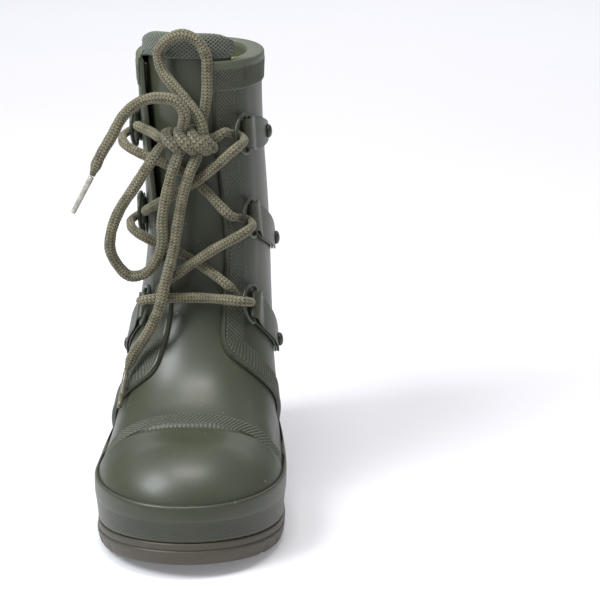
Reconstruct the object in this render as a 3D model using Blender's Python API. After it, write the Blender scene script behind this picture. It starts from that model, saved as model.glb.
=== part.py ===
"""Lace-up rubber rain boot on a wedge platform sole, for the wearer's right foot.

The toe points to -Y, +X is the medial side and the tread stands on z = 0. The origin lies on the
middle of the tread. The drawing below is in millimetres, and add_mesh() turns it into metres.

Most of the upper is drawn on one surface, the last. A point of it is given by a station, which
counts section planes from the toe (0) up the instep and the shaft to the top of the tongue (12),
and by an angle round that section: 0 on the front line, positive to the medial side, pi at the
back or under the foot. Each piece is a patch of that surface with its own depth range.
"""
import math

import bmesh
import bpy
import numpy as np
from mathutils import Vector

METRES = 0.001            # one millimetre of the drawing
GAP = 0.3                 # air between pieces that touch

# ---- the last ----
TOE_TIP = -120.6          # y where the toe dome closes
BALL_Z = 30.0             # height of the widest line round the toe dome
RISE_START = -90.0        # y where the instep starts to climb out of the toe dome
RISE_AT_FIRST = 1.5       # how far it has climbed at the first station
SQUARENESS = 2.15         # exponent of the section ovals, 2 for an ellipse
# station, y and z of the front line, lean of the section plane from upright in degrees,
# length of the section, centre x, half-width, share by which the waist is pinched
STATIONS = (
    (1, -63, 67.0, 0, 74.0, -2.2, 51.3, 0.00),
    (2, -49, 74.5, 0, 87.0, -1.7, 50.8, 0.00),
    (3, -35, 85.0, 8, 106.0, -1.5, 50.0, 0.03),
    (4, -23, 98.5, 22, 120.0, -0.8, 48.8, 0.12),
    (5, -13, 114.0, 42, 129.0, 0.8, 44.8, 0.22),
    (6, -6, 131.0, 65.7, 133.8, 2.7, 40.3, 0.14),
    (7, -1, 150.0, 82, 116.0, 4.3, 36.2, 0.04),
    (8, 3, 172.0, 90, 108.0, 3.2, 35.0, 0.00),
    (9, 6, 200.0, 90, 104.0, 1.8, 34.6, 0.00),
    (10, 9, 230.0, 90, 102.5, 0.3, 34.8, 0.00),
    (11, 12, 258.0, 90, 101.0, 0.0, 35.1, 0.00),
    (12, 14, 275.0, 90, 99.0, 0.0, 35.1, 0.00),
    (13, 15.5, 291.0, 90, 98.0, 0.0, 35.1, 0.00),
)
PINCH_FROM, PINCH_OVER = 60, 50   # degrees round the section where the waist pinch starts, and its run
HEEL_STATION = 6.0        # the section that meets the sole at the back of the heel
COLLAR_STATION = 11.0
TONGUE_STATION = 11.9
COLUMNS = 17              # points across the forefoot
FOOT_ROWS = np.array([1.25, 1.6, 2.0, 2.45, 2.9, 3.35, 3.8, 4.2, 4.6, 5.0])
INSTEP_ROWS = np.array([5.4, 5.8])
SHAFT_ROWS = np.array([6.3, 6.9, 7.5, 8.2, 9.0, 9.9, 10.85])

# ---- sole heights: (y, z) ----
BAND_TOP = ((-125, 41.0), (-95, 40.3), (-65, 40.3), (-40, 42.0), (-10, 47.0), (20, 55.0), (50, 65.0),
            (80, 75.0), (120, 82.0))
OUTSOLE_THICK = 14.0
TOE_SPRING = 8.6          # how far the tread curls up at the toe tip
SPRING_START = -62.0      # y where it starts
SPRING_POWER = 1.8
UPPER_OVERLAP = 7.0       # how far the upper reaches down inside the foxing band
MOUTH_OVERLAP = 1.3       # depth of the band's inner top edge
# tread gaps: y of the first, pitch, width, run of their sloped walls and depth
CLEAT_FIRST, CLEAT_PITCH, CLEAT_GAP, CLEAT_SLOPE, CLEAT_DEEP = -101.0, 13.0, 4.0, 0.6, 4.0
CORE_TOP, CORE_CLEAR = 10.6, 0.8          # wedge core: depth below the band's top, and inset
BOARD_TOP = 8.2           # depths below the band's top
FOOTBED_LOW, FOOTBED_TOP, FOOTBED_INSET = 6.6, 3.4, 9.0
SHANK_RUN, SHANK_HALF, SHANK_THICK, SHANK_BELOW = (-20, 75), 7.0, 0.9, 7.8
RIM_POINTS = 29           # points along each side of the sole's outline

# ---- depths of the layers of the upper, outwards from the last: (inner, outer) ----
VAMP = (-1.8, -0.1)
OVERLAY = (0.7, 2.0)      # toe cap and quarters
TEXTURE = (2.5, 3.2)      # eyestays, on top of the quarters
TOE_TRIM = (0.6, 1.6)
BACKSTAY = (2.7, 3.5)
ANKLE_FOAM = (-1.7, -0.6)
STIFFENER = (-3.85, -3.2)
LINING = (-6.1, -4.5)
BAND_OUT = 4.2            # foxing band's outer face, outside the upper's lower edge
BAND_WALL = 3.2

# ---- edges of the upper's pieces: (station, angle in degrees) ----
CAP_SEAM = 0.93           # station of the toe cap's rear edge on the front line
SEAM_SWEEP = 0.13         # how much later the seam runs at SWEEP_ANGLE
SWEEP_ANGLE = 65.0
TRIM_FROM, TRIM_TO, TRIM_SWEEP = 0.965, 1.46, 0.45
MEDIAL_EDGE = ((11, 14.5), (10.3, 15), (9.3, 15.7), (8.3, 18), (7.3, 18.2), (5.9, 17.3), (5.3, 17),
               (4.4, 17.2), (4.03, 20.3), (3.82, 26.5), (3.72, 37.4), (3.76, 50.4), (3.9, 66), (4.0, 90))
LATERAL_EDGE = ((11, 53.5), (10.4, 52), (9.9, 48.5), (9.2, 47.5), (8.2, 44.6), (7.26, 40), (5.95, 26.5),
                (5.4, 21.6), (4.64, 20.5), (4.2, 21.5), (3.65, 24.1), (3.35, 29.5), (3.28, 38), (3.33, 46),
                (3.42, 56), (3.55, 70), (3.65, 88))
EYESTAY = (2.6, 13.6)     # distances of the textured strip's sides from the quarter's edge
VAMP_REACH = {1: 42, -1: 66}      # angle where the tongue's side edge lies, per side
TONGUE_TOP_REACH = {1: 35, -1: 60}

# ---- D-rings, straps and rivets ----
SIDES = {"medial": 1, "lateral": -1}
# station of each ring's bar, degrees behind the quarter's edge, then the way from the bar to the
# rivet in stations and degrees, lowest ring first
RINGS = ((5.58, 22.2, -0.32, 31), (7.81, 25.6, -0.72, 40), (9.56, 27.0, -0.15, 36))
RING_HEIGHT, RING_DEPTH = 22.6, 15.0      # between wire centres
RING_WIRE = 1.2           # radius
RING_CORNER = 2.6
RING_LIFT = 13.5          # degrees between the ring and the quarter's surface
STRAP_THICK = 1.3
STRAP_HALF = 8.2
STRAP_BASE = 2.6          # depth of the strap's underside
LAYER_GAP = 0.7           # between the strap's two layers
BORE = 1.5                # inner radius of the strap's fold
RIVET_HEAD, RIVET_SHANK = 4.1, 1.4        # radii
RIVET_DOME = 2.4
RIVET_INSET = 6.5         # from the strap's round end
HOLE_CLEARANCE = 0.3

# ---- lace ----
LACE = 3.2                # radius of the slack lace
TIGHT_LACE = 2.9          # radius where it is pulled tight between the rings
AGLET = 1.6
LACE_STEP, LACING_STEP = 7.0, 6.0         # spacing of the tubes' points
KNOT_CENTRE, KNOT_HALF = (-4.5, -1.5, 217.0), (14.0, 7.0, 8.0)
LOOP_UP = ((4, -5.8, 225.2), (2, -4.8, 230.5), (-2, -2.5, 236), (-8, 0.5, 243), (-13.5, 4, 248.5),
           (-19.8, 9, 257), (-20.9, 11, 265.5), (-15.4, 8, 273), (-7.2, 5.3, 276.5), (0.2, 4.5, 274),
           (5.8, 4, 266.4), (6.8, 3.2, 252), (6.5, 2.2, 241.5), (5.4, 1.6, 234), (4, 1.6, 227.6))
LOOP_SIDE = ((-18.8, -4, 213.6), (-24.5, -10, 207), (-34.9, -14, 191.6), (-43.8, -14, 178), (-49, -13, 164),
             (-49.8, -12, 155), (-46.2, -11, 145.8), (-38.9, -10, 138.3), (-31, -10.5, 139.5),
             (-24.2, -12, 146.7),
             (-19.8, -13.5, 158), (-19.2, -13.5, 173), (-16, -13, 189.5), (-12.5, -12.5, 202),
             (-9.6, -9, 209.6))
END_SIDE = ((-7, -6.8, 225.4), (-5.6, -10.2, 233.5), (-10.1, -11.5, 241), (-19.7, -10.5, 243),
             (-29.5, -9.5, 241),
            (-39.8, -10, 233), (-47.3, -12, 220.5), (-54, -14, 209.5), (-58.5, -15, 199))
END_SIDE_AGLET = ((-58.8, -15.1, 198.4), (-70, -17, 177.6))
END_FRONT = ((1, -6.6, 208.9), (-3, -10.8, 200), (-6.8, -12, 188), (-10, -13, 172), (-13, -14.5, 155),
             (-17.2, -20.3, 139), (-20.8, -25.2, 124.5), (-25.5, -25.6, 113), (-30.5, -23.5, 104),
             (-37, -22.5, 94), (-41.2, -23.5, 84.5))
END_FRONT_AGLET = ((-41.4, -23.4, 83.7), (-45, -34.5, 65.5))


# ============================ numbers along curves ============================

def smooth(table, at):
    """Values of the smooth curve through the (position, value, ...) rows of table."""
    table = np.asarray(table, float)
    place, value = table[:, 0], table[:, 1:]
    slope = np.gradient(value, place, axis=0)
    at = np.clip(np.asarray(at, float), place[0], place[-1])
    i = np.clip(np.searchsorted(place, at) - 1, 0, len(place) - 2)
    run = (place[i + 1] - place[i])[..., None]
    t = (at - place[i])[..., None] / run
    out = ((1 + 2 * t) * (1 - t) ** 2 * value[i] + t * (1 - t) ** 2 * run * slope[i]
           + t * t * (3 - 2 * t) * value[i + 1] + t * t * (t - 1) * run * slope[i + 1])
    return out[..., 0] if value.shape[1] == 1 else out


def ease(low, high, at):
    """0 below low, 1 above high, and a smooth step between."""
    t = np.clip((np.asarray(at, float) - low) / (high - low), 0, 1)
    return t * t * (3 - 2 * t)


def spring(y):
    """How far the sole has curled up towards the toe at y."""
    share = np.clip((SPRING_START - np.asarray(y, float)) / 64.0, 0, 1)
    return TOE_SPRING * share ** SPRING_POWER


def outsole_top(y):
    return OUTSOLE_THICK + 0.93 * spring(y)


def band_top(y):
    return smooth(BAND_TOP, y)


def unit(vectors):
    return vectors / np.linalg.norm(vectors, axis=-1, keepdims=True)


# ============================ the last's surface ============================

def section(station):
    """Front line y and z, lean, length, centre x, half-width and pinch of each section."""
    station = np.asarray(station, float)
    y, z, lean, length, centre, half, pinch = np.moveaxis(smooth(STATIONS, station), -1, 0)
    first, second = STATIONS[0], STATIONS[1]
    turn = np.clip(station, 0, 1) * math.pi / 2
    toe_y = first[1] - (first[1] - TOE_TIP) * np.cos(turn)
    run = first[1] - RISE_START
    climb = (second[2] - first[2]) / (second[1] - first[1])
    t = np.clip((toe_y - RISE_START) / run, 0, 1)
    rise = t * t * (3 - 2 * t) * RISE_AT_FIRST + t * t * (t - 1) * climb * run
    toe_z = BALL_Z + (first[2] - RISE_AT_FIRST - BALL_Z) * np.sin(turn) + rise
    in_toe = station < 1
    y = np.where(in_toe, toe_y, y)
    z = np.where(in_toe, toe_z, z)
    lean = np.where(in_toe, 0, np.radians(lean))
    length = np.where(in_toe, 2 * (toe_z - BALL_Z), length)
    half = np.where(in_toe, half * np.sin(turn), half)
    return y, z, lean, length, centre, half, pinch


def last(station, angle):
    """Points of the last itself."""
    y, z, lean, length, centre, half, pinch = section(station)
    sine, cosine = np.sin(angle), np.cos(angle)
    square = (np.abs(sine) ** SQUARENESS + np.abs(cosine) ** SQUARENESS) ** (1 / SQUARENESS)
    half = half * (1 - pinch * ease(PINCH_FROM, PINCH_FROM + PINCH_OVER, np.abs(np.degrees(angle))))
    deep = length * (1 - cosine / square) / 2
    x = centre + half * sine / square
    return np.stack([x, y + deep * np.sin(lean), z - deep * np.cos(lean)], -1)


def tangents(station, angle, step=0.004):
    """How the last moves per station and per radian."""
    along = (last(station + step, angle) - last(station - step, angle)) / (2 * step)
    round_it = (last(station, angle + step) - last(station, angle - step)) / (2 * step)
    return along, round_it


def normal(station, angle):
    along, round_it = tangents(station, angle)
    return unit(np.cross(round_it, along))


def skin(station, angle, out):
    """Points that lie out millimetres outside the last."""
    station, angle, out = np.broadcast_arrays(*(np.asarray(v, float) for v in (station, angle, out)))
    return last(station, angle) + out[..., None] * normal(station, angle)


def hem(station, side, overlap=UPPER_OVERLAP):
    """Angle where a section meets the upper's lower edge, or pi where it never does."""
    station = np.asarray(station, float)
    low, high = np.full(station.shape, 0.02), np.full(station.shape, math.pi)
    for _ in range(36):
        middle = (low + high) / 2
        point = last(station, side * middle)
        above = point[..., 2] > band_top(point[..., 1]) - overlap
        low = np.where(above, middle, low)
        high = np.where(above, high, middle)
    return low


def first_station(overlap=UPPER_OVERLAP):
    """Station whose front line just clears the upper's lower edge at the toe."""
    low, high = 0.0, 1.0
    for _ in range(36):
        middle = (low + high) / 2
        y, z = (float(v) for v in section(middle)[:2])
        low, high = (middle, high) if z < band_top(y) - overlap else (low, middle)
    return high


def heel_station(overlap=UPPER_OVERLAP):
    """Station whose back line meets the upper's lower edge at the heel."""
    low, high = HEEL_STATION - 1, HEEL_STATION + 1
    for _ in range(36):
        middle = (low + high) / 2
        point = last(middle, math.pi)
        low, high = (middle, high) if point[2] < band_top(point[1]) - overlap else (low, middle)
    return low


# ============================ paths on the last ============================

def even(stations, angles, count):
    """The same path with count points at even distances."""
    points = last(stations, angles)
    way = np.r_[0, np.cumsum(np.linalg.norm(np.diff(points, axis=0), axis=1))]
    at = np.linspace(0, way[-1], count)
    return np.interp(at, way, stations), np.interp(at, way, angles)


def edge_path(points, side, count):
    """Path through (station, degrees) points, evenly spaced."""
    table = np.column_stack([np.arange(len(points)), np.asarray(points, float)])
    fine = smooth(table, np.linspace(0, len(points) - 1, 400))
    return even(fine[:, 0], side * np.radians(fine[:, 1]), count)


def shifted(stations, angles, distance, steps=6):
    """The path moved sideways over the surface, to the left of its direction seen from outside."""
    stations, angles = stations.copy(), angles.copy()
    distance = np.asarray(distance, float)[..., None]
    for _ in range(steps):
        points = last(stations, angles)
        way = unit(np.gradient(points, axis=0))
        along, round_it = tangents(stations, angles)
        move = unit(np.cross(unit(np.cross(round_it, along)), way)) * distance / steps
        a, b, c = (along * along).sum(1), (along * round_it).sum(1), (round_it * round_it).sum(1)
        p, q = (along * move).sum(1), (round_it * move).sum(1)
        bottom = a * c - b * b
        stations = stations + (c * p - b * q) / bottom
        angles = angles + (a * q - b * p) / bottom
    return stations, angles


def sole_side(side, overlap, count):
    """Path along the upper's lower edge from the toe tip to the back of the heel."""
    start, end = first_station(overlap), heel_station(overlap)
    share = np.linspace(0, 1, 500)
    stations = start + (end - start) * (1 - (1 - share) ** 2)
    angles = side * hem(stations, side, overlap)
    angles[0] = 0
    angles[-1] = side * math.pi
    return even(stations, angles, count)


def both_sides(half):
    """Closed loop round the foot (toe tip, medial side, heel, lateral side) from its two halves."""
    return np.concatenate([half(1), half(-1)[-2:0:-1]])


def plan_outline(count=RIM_POINTS):
    """Plan x, y and outward direction of the upper's lower edge."""
    loop = both_sides(lambda side: last(*sole_side(side, UPPER_OVERLAP, count)))[:, :2]
    way = np.roll(loop, -1, axis=0) - np.roll(loop, 1, axis=0)
    outward = unit(np.column_stack([way[:, 1], -way[:, 0]]))
    return loop, outward


# ============================ meshes ============================

def material(name, colour, roughness, metallic=0.0):
    found = bpy.data.materials.get(name)
    if found:
        return found
    made = bpy.data.materials.new(name)
    made.use_nodes = True
    shader = made.node_tree.nodes["Principled BSDF"]
    shader.inputs["Base Color"].default_value = (*colour, 1)
    shader.inputs["Roughness"].default_value = roughness
    shader.inputs["Metallic"].default_value = metallic
    return made


def rubber():
    return material("olive_rubber", (0.085, 0.092, 0.062), 0.42)


def outsole_rubber():
    return material("outsole_rubber", (0.088, 0.085, 0.060), 0.6)


def textured_rubber():
    return material("textured_rubber", (0.078, 0.085, 0.058), 0.6)


def knit():
    return material("olive_knit", (0.095, 0.110, 0.080), 0.9)


def lime_lining():
    return material("lime_lining", (0.42, 0.48, 0.12), 0.9)


def painted_metal():
    return material("painted_metal", (0.070, 0.076, 0.052), 0.35, 0.3)


def lace_yarn():
    return material("lace_yarn", (0.20, 0.185, 0.13), 0.9)


def foam():
    return material("foam", (0.25, 0.25, 0.22), 0.9)


def board():
    return material("board", (0.45, 0.36, 0.24), 0.9)


def steel():
    return material("steel", (0.55, 0.55, 0.56), 0.35, 1.0)


def plastic():
    return material("aglet_plastic", (0.50, 0.48, 0.42), 0.3)


def add_mesh(name, points, faces, look, location=(0, 0, 0)):
    """Object from millimetre points and faces, with its origin at location."""
    location = np.asarray(location, float)
    mesh = bpy.data.meshes.new(name)
    mesh.from_pydata(((points - location) * METRES).tolist(), [], faces)
    build = bmesh.new()
    build.from_mesh(mesh)
    bmesh.ops.remove_doubles(build, verts=build.verts, dist=0.00001)
    bmesh.ops.triangulate(build, faces=[f for f in build.faces if len(f.verts) > 3])
    bmesh.ops.recalc_face_normals(build, faces=build.faces)
    if build.calc_volume(signed=True) < 0:
        bmesh.ops.reverse_faces(build, faces=build.faces)
    build.to_mesh(mesh)
    build.free()
    mesh.shade_smooth()
    mesh.set_sharp_from_angle(angle=math.radians(40))
    mesh.materials.append(look)
    piece = bpy.data.objects.new(name, mesh)
    piece.location = location * METRES
    bpy.context.collection.objects.link(piece)
    return piece


def weld(points, faces):
    """Faces on merged points, without the ones that merging flattened."""
    _, keep, where = np.unique(np.round(points + 0.00027, 3), axis=0, return_index=True, return_inverse=True)
    where = keep[where.reshape(-1)]
    cleaned = []
    for face in faces:
        corners = []
        for corner in (int(where[i]) for i in face):
            if corner not in corners:
                corners.append(corner)
        if len(corners) > 2:
            cleaned.append(corners)
    return cleaned


def grid_faces(rows, columns, wrap=False):
    """Quads of a rows by columns grid of points."""
    last_column = columns if wrap else columns - 1
    return [[r * columns + c, r * columns + (c + 1) % columns,
             (r + 1) * columns + (c + 1) % columns, (r + 1) * columns + c]
            for r in range(rows - 1) for c in range(last_column)]


def shell(name, outer, inner, look):
    """Closed solid between two grids of points, stitched along every open edge."""
    rows, columns = outer.shape[:2]
    outer, inner = outer.reshape(-1, 3), inner.reshape(-1, 3)
    count = len(outer)
    faces = weld((outer + inner) / 2, grid_faces(rows, columns))
    edges = {}
    for face in faces:
        for a, b in zip(face, face[1:] + face[:1]):
            edges[(a, b)] = edges.get((a, b), 0) + 1
    rim = [(a, b) for a, b in edges if (b, a) not in edges]
    faces += [[i + count for i in reversed(face)] for face in faces]
    faces += [[b, a, a + count, b + count] for a, b in rim]
    return add_mesh(name, np.concatenate([outer, inner]), faces, look)


def patch(name, stations, angles, depth, look):
    """Shell over a grid of last positions; depth is (inner, outer)."""
    return shell(name, skin(stations, angles, depth[1]), skin(stations, angles, depth[0]), look)


def loft(name, loops, look, closed=False, capped=True):
    """Solid through loops of equal point count; closed joins the last loop to the first."""
    loops = np.asarray(loops, float)
    rings, count = loops.shape[:2]
    faces = grid_faces(rings, count, wrap=True)
    if closed:
        end = (rings - 1) * count
        faces += [[end + c, end + (c + 1) % count, (c + 1) % count, c] for c in range(count)]
    elif capped:
        faces += [list(range(count))[::-1], list(range((rings - 1) * count, rings * count))]
    return add_mesh(name, loops.reshape(-1, 3), faces, look)


def cut(piece, centre, axis, radius, length):
    """Boolean hole through piece along axis."""
    mesh = bpy.data.meshes.new("cutter")
    build = bmesh.new()
    bmesh.ops.create_cone(build, cap_ends=True, segments=12, radius1=radius * METRES,
                          radius2=radius * METRES, depth=length * METRES)
    build.to_mesh(mesh)
    build.free()
    cutter = bpy.data.objects.new(f"{piece.name}_cutter", mesh)
    cutter.location = Vector(centre) * METRES
    cutter.rotation_mode = "QUATERNION"
    cutter.rotation_quaternion = Vector(axis).to_track_quat("Z", "Y")
    cutter.hide_render = True
    cutter.display_type = "WIRE"
    bpy.context.collection.objects.link(cutter)
    modifier = piece.modifiers.new("hole", "BOOLEAN")
    modifier.operation = "DIFFERENCE"
    modifier.object = cutter


# ============================ sole ============================

def outline_at(share_down, out_top, out_bottom):
    """Sole outline in plan: out_top at the band's top, tapering to out_bottom at its foot."""
    loop, outward = plan_outline()
    side_taper = 3.0 * np.abs(outward[:, 0]) ** 1.5
    toe_flare = 1.5 * np.clip(-outward[:, 1], 0, 1)
    out = out_top + (out_bottom - out_top - side_taper + toe_flare) * share_down
    return loop + outward * out[:, None]


def with_height(outline, heights, shift=0.0):
    return np.column_stack([outline, heights(outline[:, 1]) + shift])


def make_outsole():
    """Row by row from toe to heel, each row a section across; the cleat gaps cut right through."""
    outline = outline_at(1.0, BAND_OUT, BAND_OUT + 0.5)
    heel = int(np.argmax(outline[:, 1]))
    medial, lateral = outline[:heel + 1], np.vstack([outline[heel:], outline[:1]])[::-1]
    front, back = outline[:, 1].min() + 0.3, outline[:, 1].max() - 0.3
    ends = [(back - front) * share for share in (0, 0.004, 0.015, 0.035)]
    rows = [(front + end, 0.0) for end in ends] + [(back - end, 0.0) for end in ends]
    for start in np.arange(CLEAT_FIRST, back - CLEAT_PITCH, CLEAT_PITCH):
        rows += [(start, 0.0), (start + CLEAT_SLOPE, CLEAT_DEEP),
                 (start + CLEAT_GAP - CLEAT_SLOPE, CLEAT_DEEP), (start + CLEAT_GAP, 0.0)]
    sections = []
    for y, lift in sorted(rows):
        right = np.interp(y, medial[:, 1], medial[:, 0])
        left = np.interp(y, lateral[:, 1], lateral[:, 0])
        top, bottom = float(outsole_top(y)), float(spring(y)) + lift
        inset = min(3.0, (right - left) / 6)
        shoulder = (top + bottom) / 2 + 2
        across = [(left, top), (left, shoulder), (left + inset, bottom),
                  (right - inset, bottom), (right, shoulder), (right, top)]
        sections.append([(x, y, z) for x, z in across])
    return loft("outsole", sections, outsole_rubber())


def overlay_depth(stations):
    """Depth of what lies on the vamp at its lower edge: cap and trim, nothing, then the quarters."""
    cap = 1 - ease(2.1, 2.5, stations)
    quarter = ease(2.7, 3.2, stations)
    return OVERLAY[1] * np.maximum(cap, quarter)


def band_inside(overlap):
    """Loop inside the foxing band that just clears the pieces of the upper."""
    def half(side):
        stations, angles = sole_side(side, overlap, RIM_POINTS)
        return skin(stations, angles, overlay_depth(stations) + 0.8)
    return both_sides(half)


def make_foxing_band():
    top, foot = outline_at(0.0, BAND_OUT, BAND_OUT), outline_at(1.0, BAND_OUT, BAND_OUT)
    middle = outline_at(0.5, BAND_OUT, BAND_OUT)
    inner_foot = outline_at(1.0, BAND_OUT, BAND_OUT - BAND_WALL)
    mouth, throat = band_inside(MOUTH_OVERLAP), band_inside(UPPER_OVERLAP)[:, :2]
    half_height = (band_top(middle[:, 1]) + outsole_top(middle[:, 1])) / 2
    lip = top * 0.65 + mouth[:, :2] * 0.35
    loops = [with_height(foot, outsole_top, GAP), np.column_stack([middle, half_height]),
             with_height(top, band_top, -1.0), with_height(lip, band_top, -0.1), mouth,
             with_height(throat, band_top, -UPPER_OVERLAP), with_height(throat, band_top, -UPPER_OVERLAP - 4),
             with_height(inner_foot, outsole_top, GAP)]
    return loft("foxing_band", loops, rubber(), closed=True)


def bridged(name, loops, look):
    """Solid through sole-shaped loops, with its end faces laid out as strips across the foot."""
    loops = np.asarray(loops, float)
    rings, count = loops.shape[:2]
    faces = grid_faces(rings, count, wrap=True)
    for first in (0, (rings - 1) * count):
        for c in range(count // 2):
            near, far = first + c, first + (count - c) % count
            faces.append([near, near + 1, first + count - c - 1] + ([far] if far != near else []))
    return add_mesh(name, loops.reshape(-1, 3), faces, look)


def make_wedge_core():
    """Foam wedge inside the foxing band, from the outsole up to the insole board."""
    loop, outward = plan_outline()
    foot = outline_at(1.0, BAND_OUT, BAND_OUT - BAND_WALL) - outward * CORE_CLEAR
    top = loop - outward * CORE_CLEAR
    loops = [with_height(foot, outsole_top, GAP), with_height(top, band_top, -CORE_TOP - 2),
             with_height(top, band_top, -CORE_TOP)]
    return bridged("wedge_core", loops, foam())


def flat_layer(name, inset, low, high, look):
    """Sheet parallel to the foot's bed, between two depths below the band's top."""
    loop, outward = plan_outline()
    outline = loop - outward * inset
    return bridged(name, [with_height(outline, band_top, low), with_height(outline, band_top, high)], look)


def make_shank():
    """Steel strip that stiffens the waist, on the insole board and under the footbed."""
    rows = []
    for y in np.linspace(*SHANK_RUN, 7):
        low = float(band_top(y)) - SHANK_BELOW
        rows.append([(x, y, low + up) for x, up in ((-SHANK_HALF, 0), (SHANK_HALF, 0), (SHANK_HALF, SHANK_THICK),
                                                    (-SHANK_HALF, SHANK_THICK))])
    return loft("shank", rows, steel())


# ============================ upper ============================

def rows_over(stations, lateral, medial, columns):
    """Grid of last positions: one row per station, from the lateral to the medial reach."""
    share = np.linspace(0, 1, columns)
    angles = -lateral[:, None] * (1 - share) + medial[:, None] * share
    return np.repeat(stations[:, None], columns, 1), angles


def hem_rows(stations, overlap, columns=COLUMNS):
    """Rows that reach down to the upper's lower edge on both sides, the first closing at the toe tip."""
    lateral, medial = hem(stations, -1, overlap), hem(stations, 1, overlap)
    if stations[0] < 0.5:
        lateral[0] = medial[0] = 0
    return rows_over(stations, lateral, medial, columns)


def toe_rows(overlap, end=CAP_SEAM, count=8):
    """Stations from the toe tip to end, close together where the dome starts."""
    start = first_station(overlap)
    return start + (end - start) * np.linspace(0, 1, count) ** 1.5


def swept(stations, angles, start, end, sweep):
    """The rows with the last one moved to the later station of a seam that sweeps back at the sides."""
    seam = end + sweep * (np.degrees(np.abs(angles)) / SWEEP_ANGLE) ** 2
    return start + (stations - start) * (seam - start) / (end - start)


def tongue_reach(stations, side):
    """Side edge of the vamp: down to the sole at the front, then under the quarter's edge."""
    up = np.radians(VAMP_REACH[side] + (TONGUE_TOP_REACH[side] - VAMP_REACH[side]) * ease(10.2, 11.0, stations))
    share = ease(4.4, 5.4, stations)
    return hem(stations, side) * (1 - share) + up * share


def make_vamp():
    stations = np.concatenate([toe_rows(UPPER_OVERLAP), FOOT_ROWS, INSTEP_ROWS, SHAFT_ROWS, [TONGUE_STATION]])
    lateral, medial = tongue_reach(stations, -1), tongue_reach(stations, 1)
    lateral[0] = medial[0] = 0
    return patch("vamp", *rows_over(stations, lateral, medial, COLUMNS), VAMP, rubber())


def make_toe_cap():
    """Overlay from the toe tip to the seam, tucked a little inside the foxing band."""
    overlap = UPPER_OVERLAP - 2
    stations, angles = hem_rows(toe_rows(overlap), overlap)
    stations = swept(stations, angles, first_station(overlap), CAP_SEAM, SEAM_SWEEP)
    return patch("toe_cap", stations, clipped(stations, angles, overlap), OVERLAY, rubber())


def make_toe_trim():
    """Textured strip behind the cap; it widens towards the sides."""
    overlap = UPPER_OVERLAP - 2
    stations, angles = hem_rows(np.full(4, TRIM_FROM), overlap)
    share = np.linspace(0, 1, 4)[:, None]
    bend = (np.degrees(np.abs(angles)) / SWEEP_ANGLE) ** 2
    front, back = TRIM_FROM + SEAM_SWEEP * bend, TRIM_TO + TRIM_SWEEP * bend
    stations = front + (back - front) * share
    return patch("toe_trim", stations, clipped(stations, angles, overlap), TOE_TRIM, textured_rubber())


def clipped(stations, angles, overlap):
    """Angles held inside the upper's lower edge at their own stations."""
    return np.clip(angles, -hem(stations, -1, overlap), hem(stations, 1, overlap))


def make_toe_puff():
    overlap = UPPER_OVERLAP - 2
    return patch("toe_puff", *hem_rows(toe_rows(overlap), overlap), STIFFENER, board())


def four_sided(front, back, foot, top):
    """Grid of last positions blended between four paths that meet at their corners.

    front and back run downwards, foot and top run from front to back; each is (stations, angles).
    """
    u, v = np.linspace(0, 1, len(top[0]))[None, :], np.linspace(0, 1, len(front[0]))[:, None]
    grids = []
    for k in (0, 1):
        f, b, s, t = front[k][:, None], back[k][:, None], foot[k][None, :], top[k][None, :]
        corners = (1 - u) * (1 - v) * f[0] + u * (1 - v) * b[0] + (1 - u) * v * f[-1] + u * v * b[-1]
        grids.append((1 - u) * f + u * b + (1 - v) * t + v * s - corners)
    return grids


def side_wall(name, front, side, depth, look, across):
    """Side of the shaft from a front path round to the middle of the back."""
    seam = side * (math.pi - math.radians(0.5))
    top_station, end = front[0][0], heel_station()
    back = even(np.linspace(top_station, end, 60), np.full(60, seam), len(front[0]))
    share = np.linspace(0, 1, 300)
    stations = front[0][-1] + (end - front[0][-1]) * (1 - (1 - share) ** 2)
    angles = side * np.minimum(hem(stations, side), abs(seam))
    angles[0], angles[-1] = front[1][-1], seam
    foot = even(stations, angles, across)
    top = even(np.full(60, top_station), np.linspace(front[1][0], seam, 60), across)
    return patch(name, *four_sided(front, back, foot, top), depth, look)


def quarter_edge(side, count):
    path = edge_path(MEDIAL_EDGE if side > 0 else LATERAL_EDGE, side, count)
    path[1][-1] = side * hem(path[0][-1:], side)[0]
    return path


def make_quarter(name, side):
    wall = side_wall(f"quarter_{name}", quarter_edge(side, 22), side, OVERLAY, rubber(), 11)
    for level in range(len(RINGS)):
        point, way = rivet_place(side, level)
        cut(wall, skin(*point, sum(OVERLAY) / 2), way, RIVET_SHANK + HOLE_CLEARANCE, 5.0)
    return wall


def make_ankle_foam(name, side):
    """Foam in the vamp's layer, from the tongue's side edge round to the back."""
    stations = np.concatenate([FOOT_ROWS[-2:], INSTEP_ROWS, SHAFT_ROWS])[::-1]
    angles = side * np.minimum(tongue_reach(stations, side) + math.radians(2.5), hem(stations, side))
    return side_wall(f"ankle_foam_{name}", (stations, angles), side, ANKLE_FOAM, foam(), 10)


def make_eyestay(name, side):
    """Textured strip a little inside the quarter's edge, all along it."""
    path = quarter_edge(side, 24)
    near, far = (shifted(*path, side * distance) for distance in EYESTAY)
    share = np.linspace(0, 1, 4)[:, None]
    keep = slice(2, -2)
    stations = (near[0] * (1 - share) + far[0] * share)[:, keep]
    angles = (near[1] * (1 - share) + far[1] * share)[:, keep]
    return patch(f"eyestay_{name}", stations, angles, TEXTURE, textured_rubber())


def back_rows(stations, reach, columns):
    """Rows round the back of the shaft, reach radians to each side of its middle."""
    grid, angles = rows_over(stations, reach, reach, columns)
    return grid, angles + math.pi


def make_heel_counter():
    stations = np.linspace(heel_station() + 0.12, SHAFT_ROWS[2], 7)
    return patch("heel_counter", *back_rows(stations, np.full(7, math.radians(67.5)), 11), STIFFENER, board())


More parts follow.
